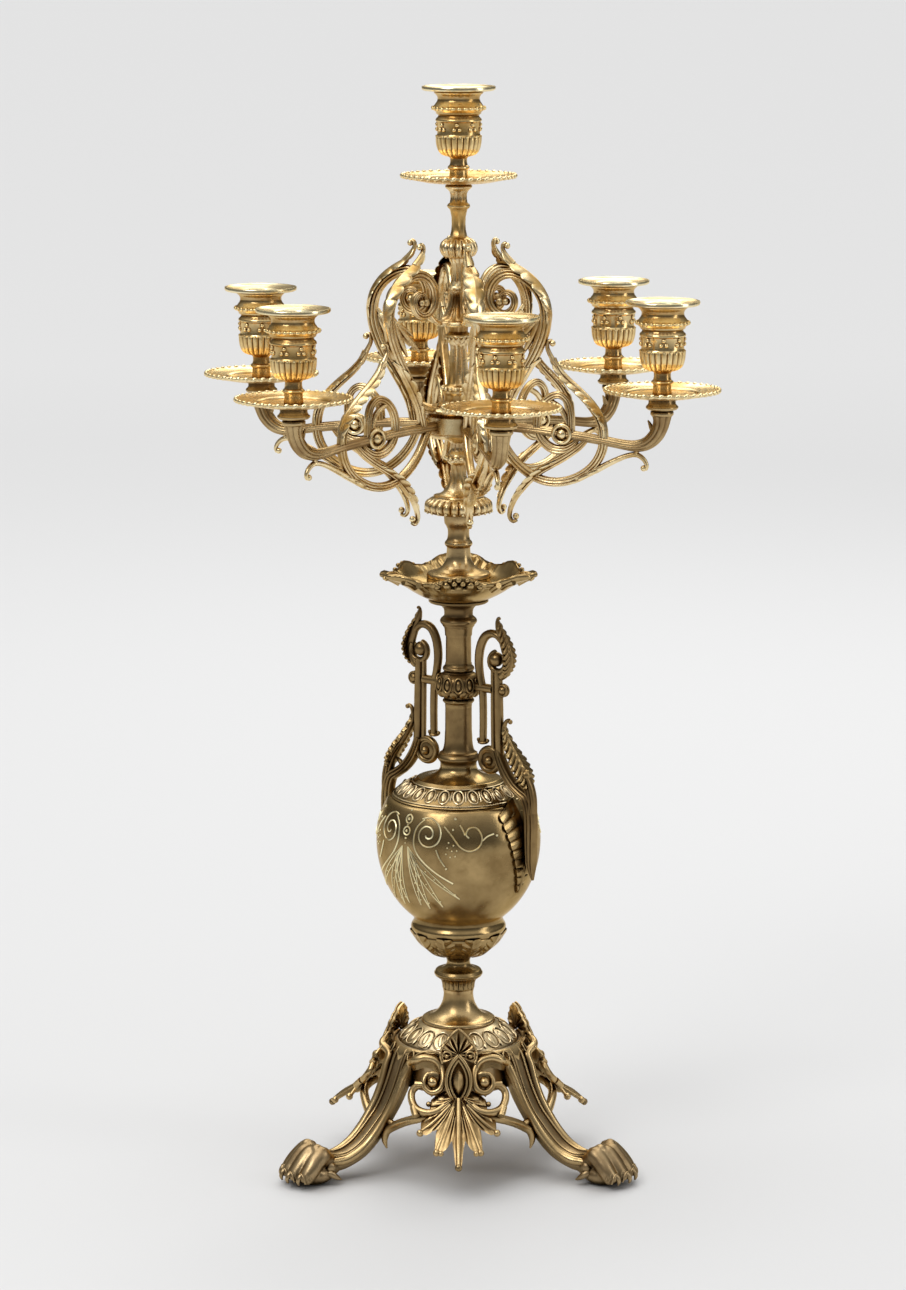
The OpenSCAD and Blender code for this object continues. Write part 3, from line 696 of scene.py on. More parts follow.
def knop_leaves():
    """Framed ovals around the knop, over a row of petals."""
    oval = joined(blob(1.3, 1.6, 3.2, 12), loop_ring(2.7, 4.5, 0.65)).leaned(-8).moved(13.6, 0, 14.8)
    petal = blob(1.4, 2.6, 3.4, 12).leaned(38).moved(11.9, 0, 8.4)
    return joined(around(oval, 12), around(petal, 12, 15))


def egg_band():
    """Egg and dart on the sloping band of the shoulder."""
    egg = blob(1.3, 1.9, 3.9, 14)
    frame_loop = loop_ring(3.2, 5.2, 0.6)
    dart = blob(0.9, 0.7, 4.2, 8).moved(0, 4.4, 0.6)
    one = joined(egg, frame_loop, dart).leaned(BAND_LEAN).moved(34.4, 0, 6.1)
    rims = [lathe(ring(r, r + 0.7, z, z + 0.9, 6), 96, None, False) for r, z in ((40.0, 1.3), (28.2, 9.4))]
    return joined(around(one, 24), *rims)


def loop_ring(half_y, half_z, r, steps=28):
    """Oval ring that faces +X."""
    a = np.linspace(0, 2 * math.pi, steps, endpoint=False)
    b = np.linspace(0, 2 * math.pi, 8, endpoint=False)
    out = np.stack([np.zeros_like(a), np.cos(a), np.sin(a)], axis=1)
    centre = out * np.array([1, half_y, half_z])
    grid = (centre[:, None, :] + r * np.cos(b)[None, :, None] * out[:, None, :]
            + r * np.sin(b)[None, :, None] * np.array([1.0, 0, 0]))
    grid = np.concatenate([grid, grid[:1]], axis=0)
    return skin(grid, caps=False)


def calyx_leaves():
    """Row of leaves that hold the urn."""
    one = leaf([(10.5, 3.2, 1.2), (18.4, 6.4, 4.6), (24.6, 11.4, 6.4), (28.2, 16.6, 5.4), (30.2, 19.6, 1.0)],
               lobes=5, side=-1, depth=0.3, droop=0.28, sheet=1.0)
    return around(one, 10)


# ---- curved bars in space ----

def tube(points, radii, steps=14, wave=None):
    """Round bar through points in space. wave(angle) scales its radius."""
    points = np.asarray(points, dtype=float)
    radii = np.broadcast_to(np.asarray(radii, dtype=float), (len(points),))
    step = heading(points)
    side = np.cross(step[0], (0.0, 0.0, 1.0))
    if np.linalg.norm(side) < 0.1:
        side = np.cross(step[0], (0.0, 1.0, 0.0))
    a = np.linspace(0, 2 * math.pi, steps, endpoint=False)
    reach = np.ones_like(a) if wave is None else wave(a)
    grid = []
    for centre, ahead, r in zip(points, step, radii):
        side = side - ahead * side.dot(ahead)
        side /= np.linalg.norm(side)
        up = np.cross(side, ahead)
        spokes = np.cos(a)[:, None] * side + np.sin(a)[:, None] * up
        grid.append(centre + r * reach[:, None] * spokes)
    return skin(np.array(grid))


def curl(rows, steps=8, sides=14, wave=None):
    """Round bar through a few rows of x, y, z, radius."""
    rows = smooth(rows, steps)
    return tube(rows[:, :3], rows[:, 3], sides, wave)


def melted(form, voxel, soften):
    """Overlapping forms run together into one skin."""
    mesh = bpy.data.meshes.new("melt")
    mesh.from_pydata(form.points.tolist(), [], form.faces)
    thing = linked("melt", mesh)
    remesh = thing.modifiers.new("remesh", "REMESH")
    remesh.mode = "VOXEL"
    remesh.voxel_size = voxel
    remesh.adaptivity = 0
    relax = thing.modifiers.new("relax", "SMOOTH")
    relax.factor = 0.5
    relax.iterations = soften
    done = thing.evaluated_get(bpy.context.evaluated_depsgraph_get()).to_mesh()
    points = np.empty(len(done.vertices) * 3)
    done.vertices.foreach_get("co", points)
    faces = [tuple(face.vertices) for face in done.polygons]
    result = Form(points.reshape(-1, 3), faces)
    bpy.data.objects.remove(thing)
    bpy.data.meshes.remove(mesh)
    return result


# ---- base: legs, paws, palmettes and dome, in millimetres from the table ----

SKIRT = [(96, 40.5), (79, 40.5), (70, 43.5), (64, 48), (55, 52), (48, 58), (38, 68), (30, 81), (22, 91),
         (16, 96)]
PALMETTE_TURN = 60.0
BASE_STEP = 30.0
FAN_DROOP = 0.0085
SKIRT_ROUND = 0.006
TOES = ((-11.4, -3.6), (-3.9, 0), (3.9, 0), (11.4, -3.6))


def skirt_rho(z):
    """How far out the flared skirt of the base stands at a height."""
    heights = [row[0] for row in SKIRT][::-1]
    reach = [row[1] for row in SKIRT][::-1]
    return np.interp(z, heights, reach)


def on_skirt(x, z, lift=0.0):
    """Point on the skirt, x to the side and z up, as seen from in front of a palmette."""
    return (float(skirt_rho(z)) - SKIRT_ROUND * x * x + lift, x, z)


def skirt_curl(rows, sides=14):
    """Bar on the skirt through rows of x, z, lift, radius."""
    return curl([on_skirt(x, z, lift) + (r,) for x, z, lift, r in rows], 8, sides)


def skirt_sheet(xs, zs, lift, back):
    """Plate on the skirt over a grid of x, z and lift."""
    rho = skirt_rho(zs) - SKIRT_ROUND * xs * xs + lift
    return relief(np.stack([rho, xs, zs], axis=2), (-back, 0, 0.5 * back))


def toe(y, reach):
    """One toe of a paw; reach moves it along X."""
    return curl([(95, y * 0.4, 12, 5.8), (101, y * 0.62, 16.4, 5.8), (106 + reach, y * 0.8, 19.4, 5.6),
                 (111 + reach, y * 0.9, 15.8, 5.5), (115.4 + reach, y, 11, 5.2), (119 + reach, y, 6.6, 4.7),
                 (120.4 + reach, y, 4.6, 3.6)], 5, 18)


def claw(y, reach):
    """Claw of a toe, with the folds of skin over it."""
    hook = curl([(120 + reach, y, 9.4, 1.9), (122.8 + reach, y, 8.2, 1.7), (123.9 + reach, y, 5.8, 1.3),
                 (123.2 + reach, y, 3.4, 0.5)], 4, 10)
    folds = [arch_line(121 + reach - 1.7 * k, y, 4.8 + 1.1 * k, 3.7 + 0.35 * k, 5.6 + 0.5 * k)
             for k in (0, 1, 2)]
    return joined(hook, *folds)


def arch_line(x, y, z, half_y, height):
    """Fine raised fold over a toe."""
    a = np.linspace(0, math.pi, 11)
    points = np.stack([x + np.sin(a), y + half_y * 1.12 * np.cos(a), z + height * np.sin(a)], axis=1)
    return tube(points, 0.6, 8)


def paw_form():
    """Lion's paw along +X."""
    parts = [blob(13, 10.5, 8, 16).moved(97, 0, 10), blob(14, 14, 7.5, 16).moved(104, 0, 6.6)]
    for y, reach in TOES:
        parts.append(toe(y, reach))
    for y in (-6.4, 6.4):
        parts.append(ball(4.2, 104.4, y, 22.0, 14))
    body = melted(joined(*parts), voxel=0.7, soften=9)
    body.points[:, 2] = np.maximum(body.points[:, 2], 0)
    spurs = []
    for side in (-1, 1):
        spurs.append(blob(3.4, 2.4, 3.6, 12).moved(97, side * 11, 11))
        spurs.append(curl([(99.6, side * 9, 8, 2.6), (97.6, side * 12.4, 7.4, 2.4),
                           (94.6, side * 13.6, 5.2, 1.7), (91.6, side * 14, 3.4, 0.5)], 4, 10))
    return joined(body, *[claw(y, reach) for y, reach in TOES], *spurs)


def leg_line(rows, y, depth, r):
    """Thin ridge that runs along a leg, at a depth under its top line."""
    step = heading(rows[:, :2])
    points = np.stack([rows[:, 0] + step[:, 1] * depth, np.full(len(rows), y),
                       rows[:, 1] - step[:, 0] * depth], axis=1)
    return tube(points, r, 8)


def leg_form():
    """Core and mouldings of one leg along +X."""
    rows = smooth([(37, 77.6, 14), (40.6, 75.4, 14), (43.8, 69.4, 13), (47, 60.4, 11.6), (51.4, 49.4, 10.4),
                   (56.8, 39.6, 9.4), (61.8, 33.6, 9.6), (67.4, 27.4, 10.2), (74.6, 20.8, 10), (82.4, 17, 10),
                   (89, 16.6, 11.6), (96, 18.4, 13), (102, 19.4, 13)], 6)
    step = heading(rows[:, :2])
    grid = []
    for (x, z, drop), ahead in zip(rows, step):
        right = [(0, 0.3), (5.2, 0.2), (6.9, 1.6), (7.2, 3), (9.4, 3.2), (9.2, 6), (7, 0.86 * drop),
                 (3.4, drop)]
        loop = right + [(-y, depth) for y, depth in right[:0:-1]]
        grid.append([(x + ahead[1] * depth, y, z - ahead[0] * depth) for y, depth in loop])
    core = skin(np.array(grid))
    lines = [leg_line(rows, side * y, depth, r) for side in (-1, 1)
             for y, depth, r in ((4.5, 0.1, 0.75), (6.4, 0.9, 0.8))]
    moulding = leg_moulding()
    return core, joined(moulding, moulding.mirrored(), *lines)


def fin(points, inward, depth, thick):
    """Band that follows a path and reaches inward from it."""
    points = np.asarray(points, dtype=float)
    step = heading(points)
    inward = np.asarray(inward, dtype=float)
    across = np.cross(step, inward)
    across /= np.linalg.norm(across, axis=1)[:, None]
    grid = []
    for point, side in zip(points, across):
        near, far = point - side * thick / 2, point + side * thick / 2
        grid.append([near, far, far + inward * depth, near + inward * depth])
    return skin(np.array(grid))


def palmette_to_leg(point):
    """Point of the palmette's frame as seen from the leg beside it."""
    turn = math.radians(PALMETTE_TURN)
    x, y, z = point
    return (x * math.cos(turn) - y * math.sin(turn), x * math.sin(turn) + y * math.cos(turn), z)


def leg_moulding():
    """Bright round moulding down one side of a leg, whose top rolls into a volute with a ball."""
    low = [(104, 8, 11, 1.6), (95, 8.4, 13.2, 2.3), (85, 8.6, 13.6, 2.7), (75.4, 8.8, 17.8, 2.8),
           (67.4, 9.0, 24.6, 2.9), (60.4, 9.2, 33.2, 2.9), (53.6, 9.6, 43.6, 2.9),
           (48.6, 10.4, 54.4, 2.8), (45.2, 11.6, 63.4, 2.8), (42, 13, 70.2, 2.7)]
    high = []
    for x, z, lift, r in ((-26.4, 74.2, 1.5, 2.5), (-20.6, 76.4, 2.3, 2.4), (-14.6, 75.4, 2.4, 2.3),
                          (-10.6, 71.2, 2.2, 2.2), (-9.4, 64.8, 2.0, 2.2), (-11.6, 59.2, 2.0, 2.1),
                          (-16.4, 57.2, 2.2, 2.0), (-20.6, 59.8, 2.6, 1.8), (-21.2, 64.2, 3, 1.6),
                          (-19, 67.4, 3.2, 1.4), (-16.2, 67.8, 3.2, 1.1)):
        high.append(palmette_to_leg(on_skirt(x, z, lift)) + (r,))
    mould = curl(low + high, 6, 16)
    turn = math.radians(PALMETTE_TURN)
    inward = np.array([-0.6 * math.cos(turn), -0.6 * math.sin(turn), -0.75])
    arch = smooth([row[:3] for row in low[5:] + high[:4]], 6)
    eye = ball(3.2, *palmette_to_leg(on_skirt(-16.0, 63.2, 3.2)), 16)
    backing = blob(1.6, 5.6, 5.6, 16).moved(*on_skirt(-15.4, 63.8, 0)).turned(PALMETTE_TURN)
    line = curl([palmette_to_leg(on_skirt(x, z, 1.6)) + (0.7,) for x, z in (
        (-30, 73), (-25.4, 77.6), (-19.6, 80), (-12.6, 79), (-7.4, 74.4))], 6, 8)
    return joined(mould, fin(arch, inward, 9, 3.0), eye, backing, line)


def spandrel():
    """Web of the skirt between the dome's edge and the mouldings, over one leg."""
    reach, top = 40, 78.0
    grid = []
    for phi in np.linspace(-reach, reach, 41):
        off = abs(phi) / reach
        low = 70 + 7.4 * (1 - (1 - off) ** 2.4)
        a = math.radians(phi)
        column = []
        for t in np.linspace(0, 1, 9):
            z = top + (low - top) * t
            rho = 38.6 + (top - z) * 0.62 + 1.2 * math.sin(math.pi * t)
            column.append((rho * math.cos(a), rho * math.sin(a), z))
        grid.append(column)
    web = relief(np.array(grid), (0, 0, -2.0))
    ovals = [loop_ring(2.2, 3.4, 0.55).leaned(-30).moved(42.6, 0, 74.4).turned(side * 16) for side in (-1, 1)]
    return joined(web, *ovals)


def palmette_fan():
    """Reeded leaf whose lobes end in balls."""
    angle = np.array([0, 3, 6, 10, 15, 20, 24.5, 28, 31, 35, 39, 43, 47.5, 51, 56, 62, 68, 78])
    reach_at = np.array([36.8, 34.6, 27.4, 23, 27, 30, 31.8, 31, 27, 22, 25.4, 29.6, 31.6, 29.6, 19, 20,
                         18, 9])
    a = np.linspace(-78, 78, 157)[:, None]
    t = np.linspace(0.08, 1, 22)[None, :]
    reach = np.interp(np.abs(a), angle, reach_at)
    bend = np.radians(a * (0.82 + 0.18 * t))
    xs, zs = reach * t * np.sin(bend), 57 - reach * t * np.cos(bend)
    reed = np.abs(np.sin(np.radians(a * 180 / 6.5))) ** 0.6
    lift = (0.2 + 1.9 * reed * (0.35 + 0.65 * np.sin(math.pi * np.clip(t, 0, 0.9)))
            + 2.0 * np.sin(math.pi * t) + 2.0 * t ** 4 - FAN_DROOP * xs * xs)
    sheet = skirt_sheet(xs, zs, lift, 4.4)
    knobs = []
    for x, z, r in ((0, 22, 2.3), (13.4, 28.2, 2.2), (23.6, 35.6, 2.3), (18.4, 50.2, 1.7), (10.8, 28.0, 1.8)):
        for side in (-1, 1):
            knobs.append(ball(r, *on_skirt(side * x, z, 2.0 - FAN_DROOP * x * x), 14))
    spine = skirt_curl([(0, 54, 2.4, 1.5), (0, 46, 3.6, 1.7), (0, 38, 3.8, 1.8), (0, 30, 3.2, 1.7),
                        (0, 22, 2.6, 1.4)], 12)
    fingers = [skirt_curl([(side * x0, z0, 2.6, 0.9), (side * x1, z1, 2.8 - FAN_DROOP * x1 * x1, 1.3),
                           (side * x2, z2, 2.2 - FAN_DROOP * x2 * x2, 1.2)], 10)
               for side in (-1, 1)
               for x0, z0, x1, z1, x2, z2 in ((3, 50, 8.4, 38.6, 13.2, 29), (5, 51, 14.6, 42.4, 23, 36.4))]
    return joined(sheet, spine, *fingers, *knobs)


def vesica(half_x, low, high, lift, r):
    """Pointed oval ring over the skirt."""
    a = np.linspace(0, 2 * math.pi, 49)
    x = half_x * np.sign(np.sin(a)) * np.sin(a) ** 2
    z = (low + high) / 2 + (high - low) / 2 * np.cos(a)
    return tube(np.stack([46.4 + lift + 0.18 * (high - z), x, z], axis=1), r, 10)


def jewel():
    """Almond-shaped stone in two rims."""
    u = np.linspace(-1, 1, 29)[:, None]
    v = np.linspace(-1, 1, 15)[None, :]
    width = 1 - u * u
    forms = []
    for half_x, half_z, base, height in ((7.6, 13.2, 0.6, 0.6), (4.4, 9.6, 1.8, 3.4)):
        z = 64.2 + half_z * u * np.ones_like(v)
        x = half_x * width * v
        rho = 46.6 + 0.18 * (77.6 - z) + base + height * (1 - np.abs(v)) * np.sqrt(width)
        forms.append(relief(np.stack([rho, x, z], axis=2), (-5, 0, 0)))
    return joined(*forms, vesica(7.6, 49.0, 80.4, 3.0, 1.2), vesica(5.2, 52, 77.4, 3.2, 0.85))


def shell_leaf():
    """Upright shell with a pointed top over the jewel, with a fan of flutes and two small eyes."""
    a = np.linspace(-118, 118, 73)[:, None]
    t = np.linspace(0.05, 1, 12)[None, :]
    reach = 10.9 + 4.7 * np.maximum(0, 1 - np.abs(a) / 44) ** 1.3
    flute = np.abs(np.sin(np.radians(a * 180 / 26.2)))
    r = reach * t
    y, z = 1.02 * r * np.sin(np.radians(a)), 79.2 + r * np.cos(np.radians(a))
    lean = 43.8 - 0.20 * (z - 79.2)
    rho = lean + 1.9 * flute * np.sin(math.pi * np.clip(t * 0.9, 0, 1)) + 0.9 * t ** 4
    shell = relief(np.stack([rho, y, z], axis=2), (-2.2, 0, 0))
    edge = tube(np.stack([rho[:, -1] + 0.2, y[:, -1], z[:, -1]], axis=1), 0.75, 8)
    eyes = []
    for side in (-1, 1):
        eyes.append(ball(1.5, 45.6, side * 7.2, 78.4, 12))
        eyes.append(loop_ring(2.9, 2.9, 0.7).moved(45.2, side * 7.2, 78.4))
    return joined(shell, edge, *eyes)


def palmette_side():
    """What stands at one side of the fan: ring, collar, branch and thorn."""
    hoop = skirt_curl([(-15.4, 55.6, 1.4, 1.8), (-19.6, 60, 1.4, 2.0), (-25, 60, 1.2, 2.2),
                       (-28.6, 56.6, 1.0, 2.3), (-28.8, 52, 1.0, 2.3), (-26, 48, 1.2, 2.4),
                       (-20, 46.4, 1.4, 2.4), (-13.6, 47.4, 1.4, 2.2), (-8.6, 50.6, 1.4, 1.8)])
    collar = skirt_curl([(-22, 61.6, 2.4, 1.9), (-26.6, 61.4, 2.4, 1.9)], 10)
    branch = curl([(54, -9, 45.4, 2.4), (56.4, -15, 43.6, 2.7), (54.6, -24, 41.6, 2.8), (48, -33, 37.4, 2.8),
                   (41, -40, 32.4, 2.9), (38.6, -44.4, 28.6, 2.7), (39, -45.8, 23.4, 2.0),
                   (41, -44.4, 18.2, 0.5)], 8, 14)
    spur = curl([(41, -40, 33.4, 2.1), (37.6, -43, 34.6, 2.1), (33, -45.4, 36, 1.8)], 6, 10)
    knot = skirt_curl([(-27.8, 48.8, 1.8, 2.3), (-26.2, 44.4, 1.8, 2.3)], 12)
    return joined(hoop, collar, branch, spur, knot)


def palmette_form():
    """Palmette apron between two legs, over one side of the skirt."""
    side = palmette_side()
    return joined(jewel(), palmette_fan(), shell_leaf(), side, side.mirrored())


def drum_form():
    """Drum under the dome, which the legs are screwed to."""
    return lathe([(AXIS_R, 52), (37.5, 52), (37.5, 76), (AXIS_R, 76)], 96)


def dome_form():
    """Dome with a band of framed ovals."""
    body = lathe(
        [(AXIS_R, 75.9), (37.5, 75.9), (38.6, 76.6), (39, 77.6), (38.6, 78.3), (37.9, 78.2), (37.5, 77.5),
         (37.0, 77.5), (36.6, 78.5)]
        + [(36.6 - 12.4 * t + 1.3 * math.sin(math.pi * t), 78.7 + 9.5 * t) for t in np.linspace(0.04, 1, 14)]
        + [(23.4, 88.6), (22.8, 89), (AXIS_R, 89)], 128)
    arch_loop = loop_ring(4.9, 6.6, 0.5)
    almond = blob(0.9, 1.9, 4.4, 12)
    between = blob(0.8, 1.1, 3.0, 10).moved(0, 5.2, -3.4)
    one = joined(arch_loop, almond, between).leaned(BAND_LEAN).moved(31.4, 0, 83.6)
    return joined(body, around(one, 18, 10))


def build_base():
    """Legs, paws, palmettes and dome."""
    core, mouldings = leg_form()
    palmette, paw = palmette_form(), paw_form()
    mouldings = joined(mouldings, spandrel())
    for i in (1, 2, 3):
        turn = direction(f"base_leg_{i}", BASE_STEP)
        place(f"base_leg_{i}", core.turned(turn), CAST_BRASS, CAST_SHARP)
        trim(f"base_leg_{i}", f"base_leg_{i}_paw", paw.turned(turn), CAST_BRASS, PAW_SHARP)
        trim(f"base_leg_{i}", f"base_leg_{i}_mouldings", mouldings.turned(turn), MATERIALS["stand_brass"],
             CAST_SHARP)
        turn = direction(f"base_palmette_{i}", BASE_STEP)
        place(f"base_palmette_{i}", palmette.turned(turn), sharp=CAST_SHARP)
    place("base_dome", dome_form(), PALE_BRASS)
    # The drum's darker cast brass also paints the shade of the base's interior seen through the openings.
    trim("base_dome", "base_drum", drum_form(), CAST_BRASS)


# ---- arms and scrolls, along +X, heights over the table ----

TENDRIL_THICK = 2.4
ARM_REACH = 129
BOSS_PLACE = (66.6, 0, 462.2)


def reeds(count, depth):
    """Wave for a reeded bar."""
    return lambda a: 1 - depth + depth * np.abs(np.sin(a * count / 2)) ** 0.7


def flat_curl(rows, thickness, steps=6, kind=ROUND):
    """Bar in the X-Z plane through rows of x, z, half width."""
    return sweep(smooth(rows, steps), thickness, kind)


def tipped(rows, eye, eye_r):
    """Tendril that ends in a ball."""
    return joined(flat_curl(rows, TENDRIL_THICK), ball(eye_r, eye[0], 0, eye[1], 14))


def arm_bar():
    """Reeded bar with its upturned end."""
    rows = [(17, 0, 465.4, 3.0), (42, 0, 464.4, 3.0), (66.6, 0, 462.2, 3.0), (90, 0, 459.4, 3.0),
            (105, 0, 457.2, 3.1), (113.6, 0, 456.8, 3.7), (120.4, 0, 459.0, 4.3), (125.4, 0, 463.8, 4.7),
            (128, 0, 469, 4.9), (128.9, 0, 473, 5.3), (ARM_REACH, 0, 476.4, 6.2)]
    return curl(rows, 6, 48, reeds(8, 0.13))


def arm_seat():
    """Rings and stud that a light stands on, and the thorn inside the bend."""
    seat = lathe([(AXIS_R, 475.4), (6.2, 475.6), (7, 476.6), (7, 478.2), (6.2, 479), (8.8, 479.6),
                  (9.8, 480.6), (9.8, 481.4), (8.8, 482.4), (8.2, 483.4), (8.2, 486.9), (3, 486.95),
                  (2.95, 499.4), (AXIS_R, 499.4)], 48)
    thorn = flat_curl([(126, 464, 2.4), (123, 467.6, 1.7), (121.2, 471, 0.9), (120.2, 472.6, 0.4)], 1.8)
    return joined(seat.moved(ARM_REACH), thorn)


def boss():
    """Ring with a ball in it, on both faces of the bar."""
    hoop = loop_ring(5.3, 5.3, 1.4, 40).turned(90).moved(*BOSS_PLACE)
    eye = blob(3.8, 5.0, 3.8, 18).moved(*BOSS_PLACE)
    return joined(hoop.moved(y=2.2), hoop.moved(y=-2.2), eye)


def lower_scroll():
    """C scroll around the bar, with its leaf, crescent, tail and tendril."""
    band = flat_curl(
        [(61, 508, 1.2), (63.5, 501.6, 1.9), (69, 495, 2.4), (77, 488, 2.7), (84.6, 480.4, 2.9),
         (90.4, 471.6, 3.0), (92.4, 462, 3.0), (91.4, 452.6, 2.9), (86.4, 443.8, 2.8), (78, 437, 2.8),
         (67.6, 433, 2.8), (57, 432.6, 2.8), (47, 436, 2.8), (38.4, 442.2, 2.8), (31.6, 450.4, 2.6),
         (26.6, 460, 2.4), (23, 466, 2.2)], 2.5, 6, REEDED)
    foliage = leaf(
        [(94, 458, 1.6), (94.8, 466.4, 4.0), (91.6, 475.4, 5.6), (85, 483.6, 6.0), (76.6, 491, 5.4),
         (68.6, 497.2, 4.4), (62.6, 503.6, 3.0), (59, 510, 1.4)],
        lobes=9, side=-1, depth=0.26, droop=0.55, sheet=1.2)
    tip = tipped([(63, 503, 1.7), (59.2, 508.6, 1.5), (56.8, 513.6, 1.3), (57.2, 517.8, 1.1),
                  (59.6, 518.6, 0.9)], (60, 516.8), 1.9)
    crescent = flat_curl(
        [(76.4, 459.4, 1.0), (73.4, 455.6, 2.0), (67.4, 452.6, 2.7), (60.6, 452.8, 3.0), (54.8, 456.6, 2.9),
         (51.2, 463, 2.7), (50.6, 471, 2.6), (53.2, 478.6, 2.5), (58.4, 484, 2.4), (64.6, 485.6, 2.3),
         (69.6, 482, 2.2), (71.8, 475.4, 2.2), (72.2, 467, 2.1), (72.2, 461, 2.0)], 2.3, 6, REEDED)
    inner = flat_curl([(58, 482, 1.8), (64.6, 478, 1.8), (68.8, 471, 1.7), (69.8, 463, 1.6)], 1.9)
    stem = flat_curl([(83, 460.4, 1.2), (77.4, 454.8, 2.1), (69.4, 449, 2.4), (60.6, 443.8, 2.5),
                      (52, 438.6, 2.5), (44.6, 432, 2.3), (38.6, 424.8, 2.0)], 2.3, 6, REEDED)
    tail = tipped([(40.6, 427.6, 2.2), (36.4, 421.4, 1.9), (33.6, 414.8, 1.6), (33, 409.8, 1.4),
                   (35, 407, 1.2), (37.6, 407.8, 1.0)], (37, 410.2), 2.0)
    tail_leaf = leaf(
        [(67, 446.4, 1.4), (59.6, 441.8, 4.2), (51.6, 436.4, 5.6), (44, 429.6, 5.0), (38, 422, 3.6),
         (34, 414.6, 1.6)],
        lobes=7, side=1, depth=0.3, droop=0.5, sheet=1.2)
    tendril = tipped([(70, 433.6, 1.4), (78, 436.2, 2.0), (88, 441, 2.0), (98, 446.4, 1.8), (107, 450.4, 1.6),
                      (113.4, 451.4, 1.6), (117.8, 448.8, 1.4), (119.8, 445, 1.2), (119, 442.4, 1.0)],
                     (117.8, 443.4), 1.9)
    tendril_leaf = leaf(
        [(68, 431, 1.2), (75, 432.6, 3.2), (83, 436.6, 3.6), (90, 440.6, 2.6), (96, 444.4, 0.9)],
        lobes=4, side=-1, depth=0.38, droop=0.3, sheet=1.0)
    link = flat_curl([(112.4, 451.6, 1.8), (113.4, 453.4, 1.5), (114, 455.4, 2.0)], 1.9)
    return joined(band, foliage, tip, crescent, inner, stem, tail, tail_leaf, tendril, tendril_leaf, link)


def upper_scroll():
    """Scroll from the hub to the top of the column: a band that rolls into a whorl, leaves and rays."""
    band = flat_curl(
        [(26.8, 542.6, 1.3), (27.6, 545.2, 1.5), (31, 546.6, 1.8), (34.6, 544.8, 2.0), (35.8, 540.6, 2.1),
         (34, 536.2, 2.2), (29.6, 533.6, 2.4), (24.4, 534.6, 2.7), (20.6, 539, 3.0), (19.6, 545.2, 3.1),
         (21.4, 551.4, 3.1), (26, 556.2, 3.1), (33, 558.2, 3.1), (41, 556.2, 3.2), (48.8, 550.6, 3.3),
         (53.8, 542.8, 3.4), (55.6, 533.6, 3.5), (54.6, 524.2, 3.5), (51.2, 514.6, 3.4),
         (46.4, 505.2, 3.3), (40.8, 495.8, 3.2), (35.4, 486.6, 3.0), (31.4, 477.6, 2.8), (29.4, 469, 2.6),
         (29, 465.4, 2.5)], 2.8, 6, REEDED)
    foliage = leaf(
        [(57.6, 524, 1.6), (59.4, 534, 4.4), (57.2, 544.6, 6.0), (51.4, 553.6, 6.4), (43.8, 560, 5.8),
         (36.8, 564.2, 4.4), (31.6, 568.6, 2.8), (29, 572.6, 1.2)],
        lobes=6, side=-1, depth=0.3, droop=0.6, sheet=1.3)
    tip = tipped([(35, 564, 1.9), (31, 568, 1.7), (28.4, 572, 1.4), (28.4, 575.4, 1.2), (30.4, 576.6, 1.0)],
                 (31, 574.8), 1.9)
    whorl = joined(blob(2.5, 3.2, 2.5, 16).moved(30.4, 0, 541.2),
                   blob(2.8, 2.6, 2.8, 16).moved(26.4, 0, 541.0))
    collar = flat_curl([(53.2, 534.4, 1.3), (50.4, 531.4, 1.3)], 3.0, 3)
    rays = [flat_curl(rows, 2.0) for rows in (
        [(51.4, 531.8, 1.0), (46.8, 528.8, 1.5), (41, 524.8, 1.3), (36.4, 521.4, 0.5)],
        [(51.4, 531.4, 1.2), (45.8, 526, 1.9), (38.6, 518.6, 1.8), (31.4, 511.6, 0.5)],
        [(51.8, 530.8, 1.2), (48.8, 524.6, 2.0), (44.8, 516.4, 1.8), (41, 509.4, 0.6)],
        [(52.6, 529.8, 1.2), (51, 521.6, 1.8), (47, 511.6, 1.6), (43, 503, 0.6)])]
    foot_leaf = leaf(
        [(31.4, 469, 2.0), (33.4, 477.6, 4.6), (37.6, 486.4, 5.6), (42.8, 494.6, 4.8), (47.6, 501.4, 3.2),
         (52.6, 506.4, 1.4)],
        lobes=5, side=-1, depth=0.42, droop=0.5, sheet=1.2)
    brace = flat_curl([(33.6, 482, 1.8), (28, 478, 1.8), (22, 476, 1.6), (17, 475, 1.6)], 1.6)
    spur = flat_curl([(24, 535, 1.8), (21, 531.4, 1.5), (17.4, 528.4, 1.4), (13.6, 527.6, 1.3)], 1.4)
    return joined(band, foliage, tip, whorl, collar, foot_leaf, brace, spur, *rays)


def build_arms():
    """The six arms and the six scrolls over them."""
    arm, bend = joined(boss(), lower_scroll()), joined(arm_bar(), arm_seat())
    scroll = upper_scroll()
    for i in range(1, 7):
        turn = direction(f"liner_{i}")
        place(f"arm_{i}", arm.turned(turn), sharp=CAST_SHARP)
        trim(f"arm_{i}", f"arm_{i}_bar", bend.turned(turn), BAR_BRASS, CAST_SHARP)
        place(f"scroll_{i}", scroll.turned(turn), sharp=CAST_SHARP)


# ---- handles, along +X, heights over the table ----

PLEAT_COLUMNS = 25
PLEAT_CUT = 0.3
HANDLE_TURN = -38.0


def globe_rho(z):
    """Radius of the urn's globe at a height."""
    half = np.where(z < GLOBE_Z, GLOBE_LOW_HALF, GLOBE_R)
    return GLOBE_R * np.sqrt(np.maximum(1 - ((z - GLOBE_Z) / half) ** 2, 0.0))


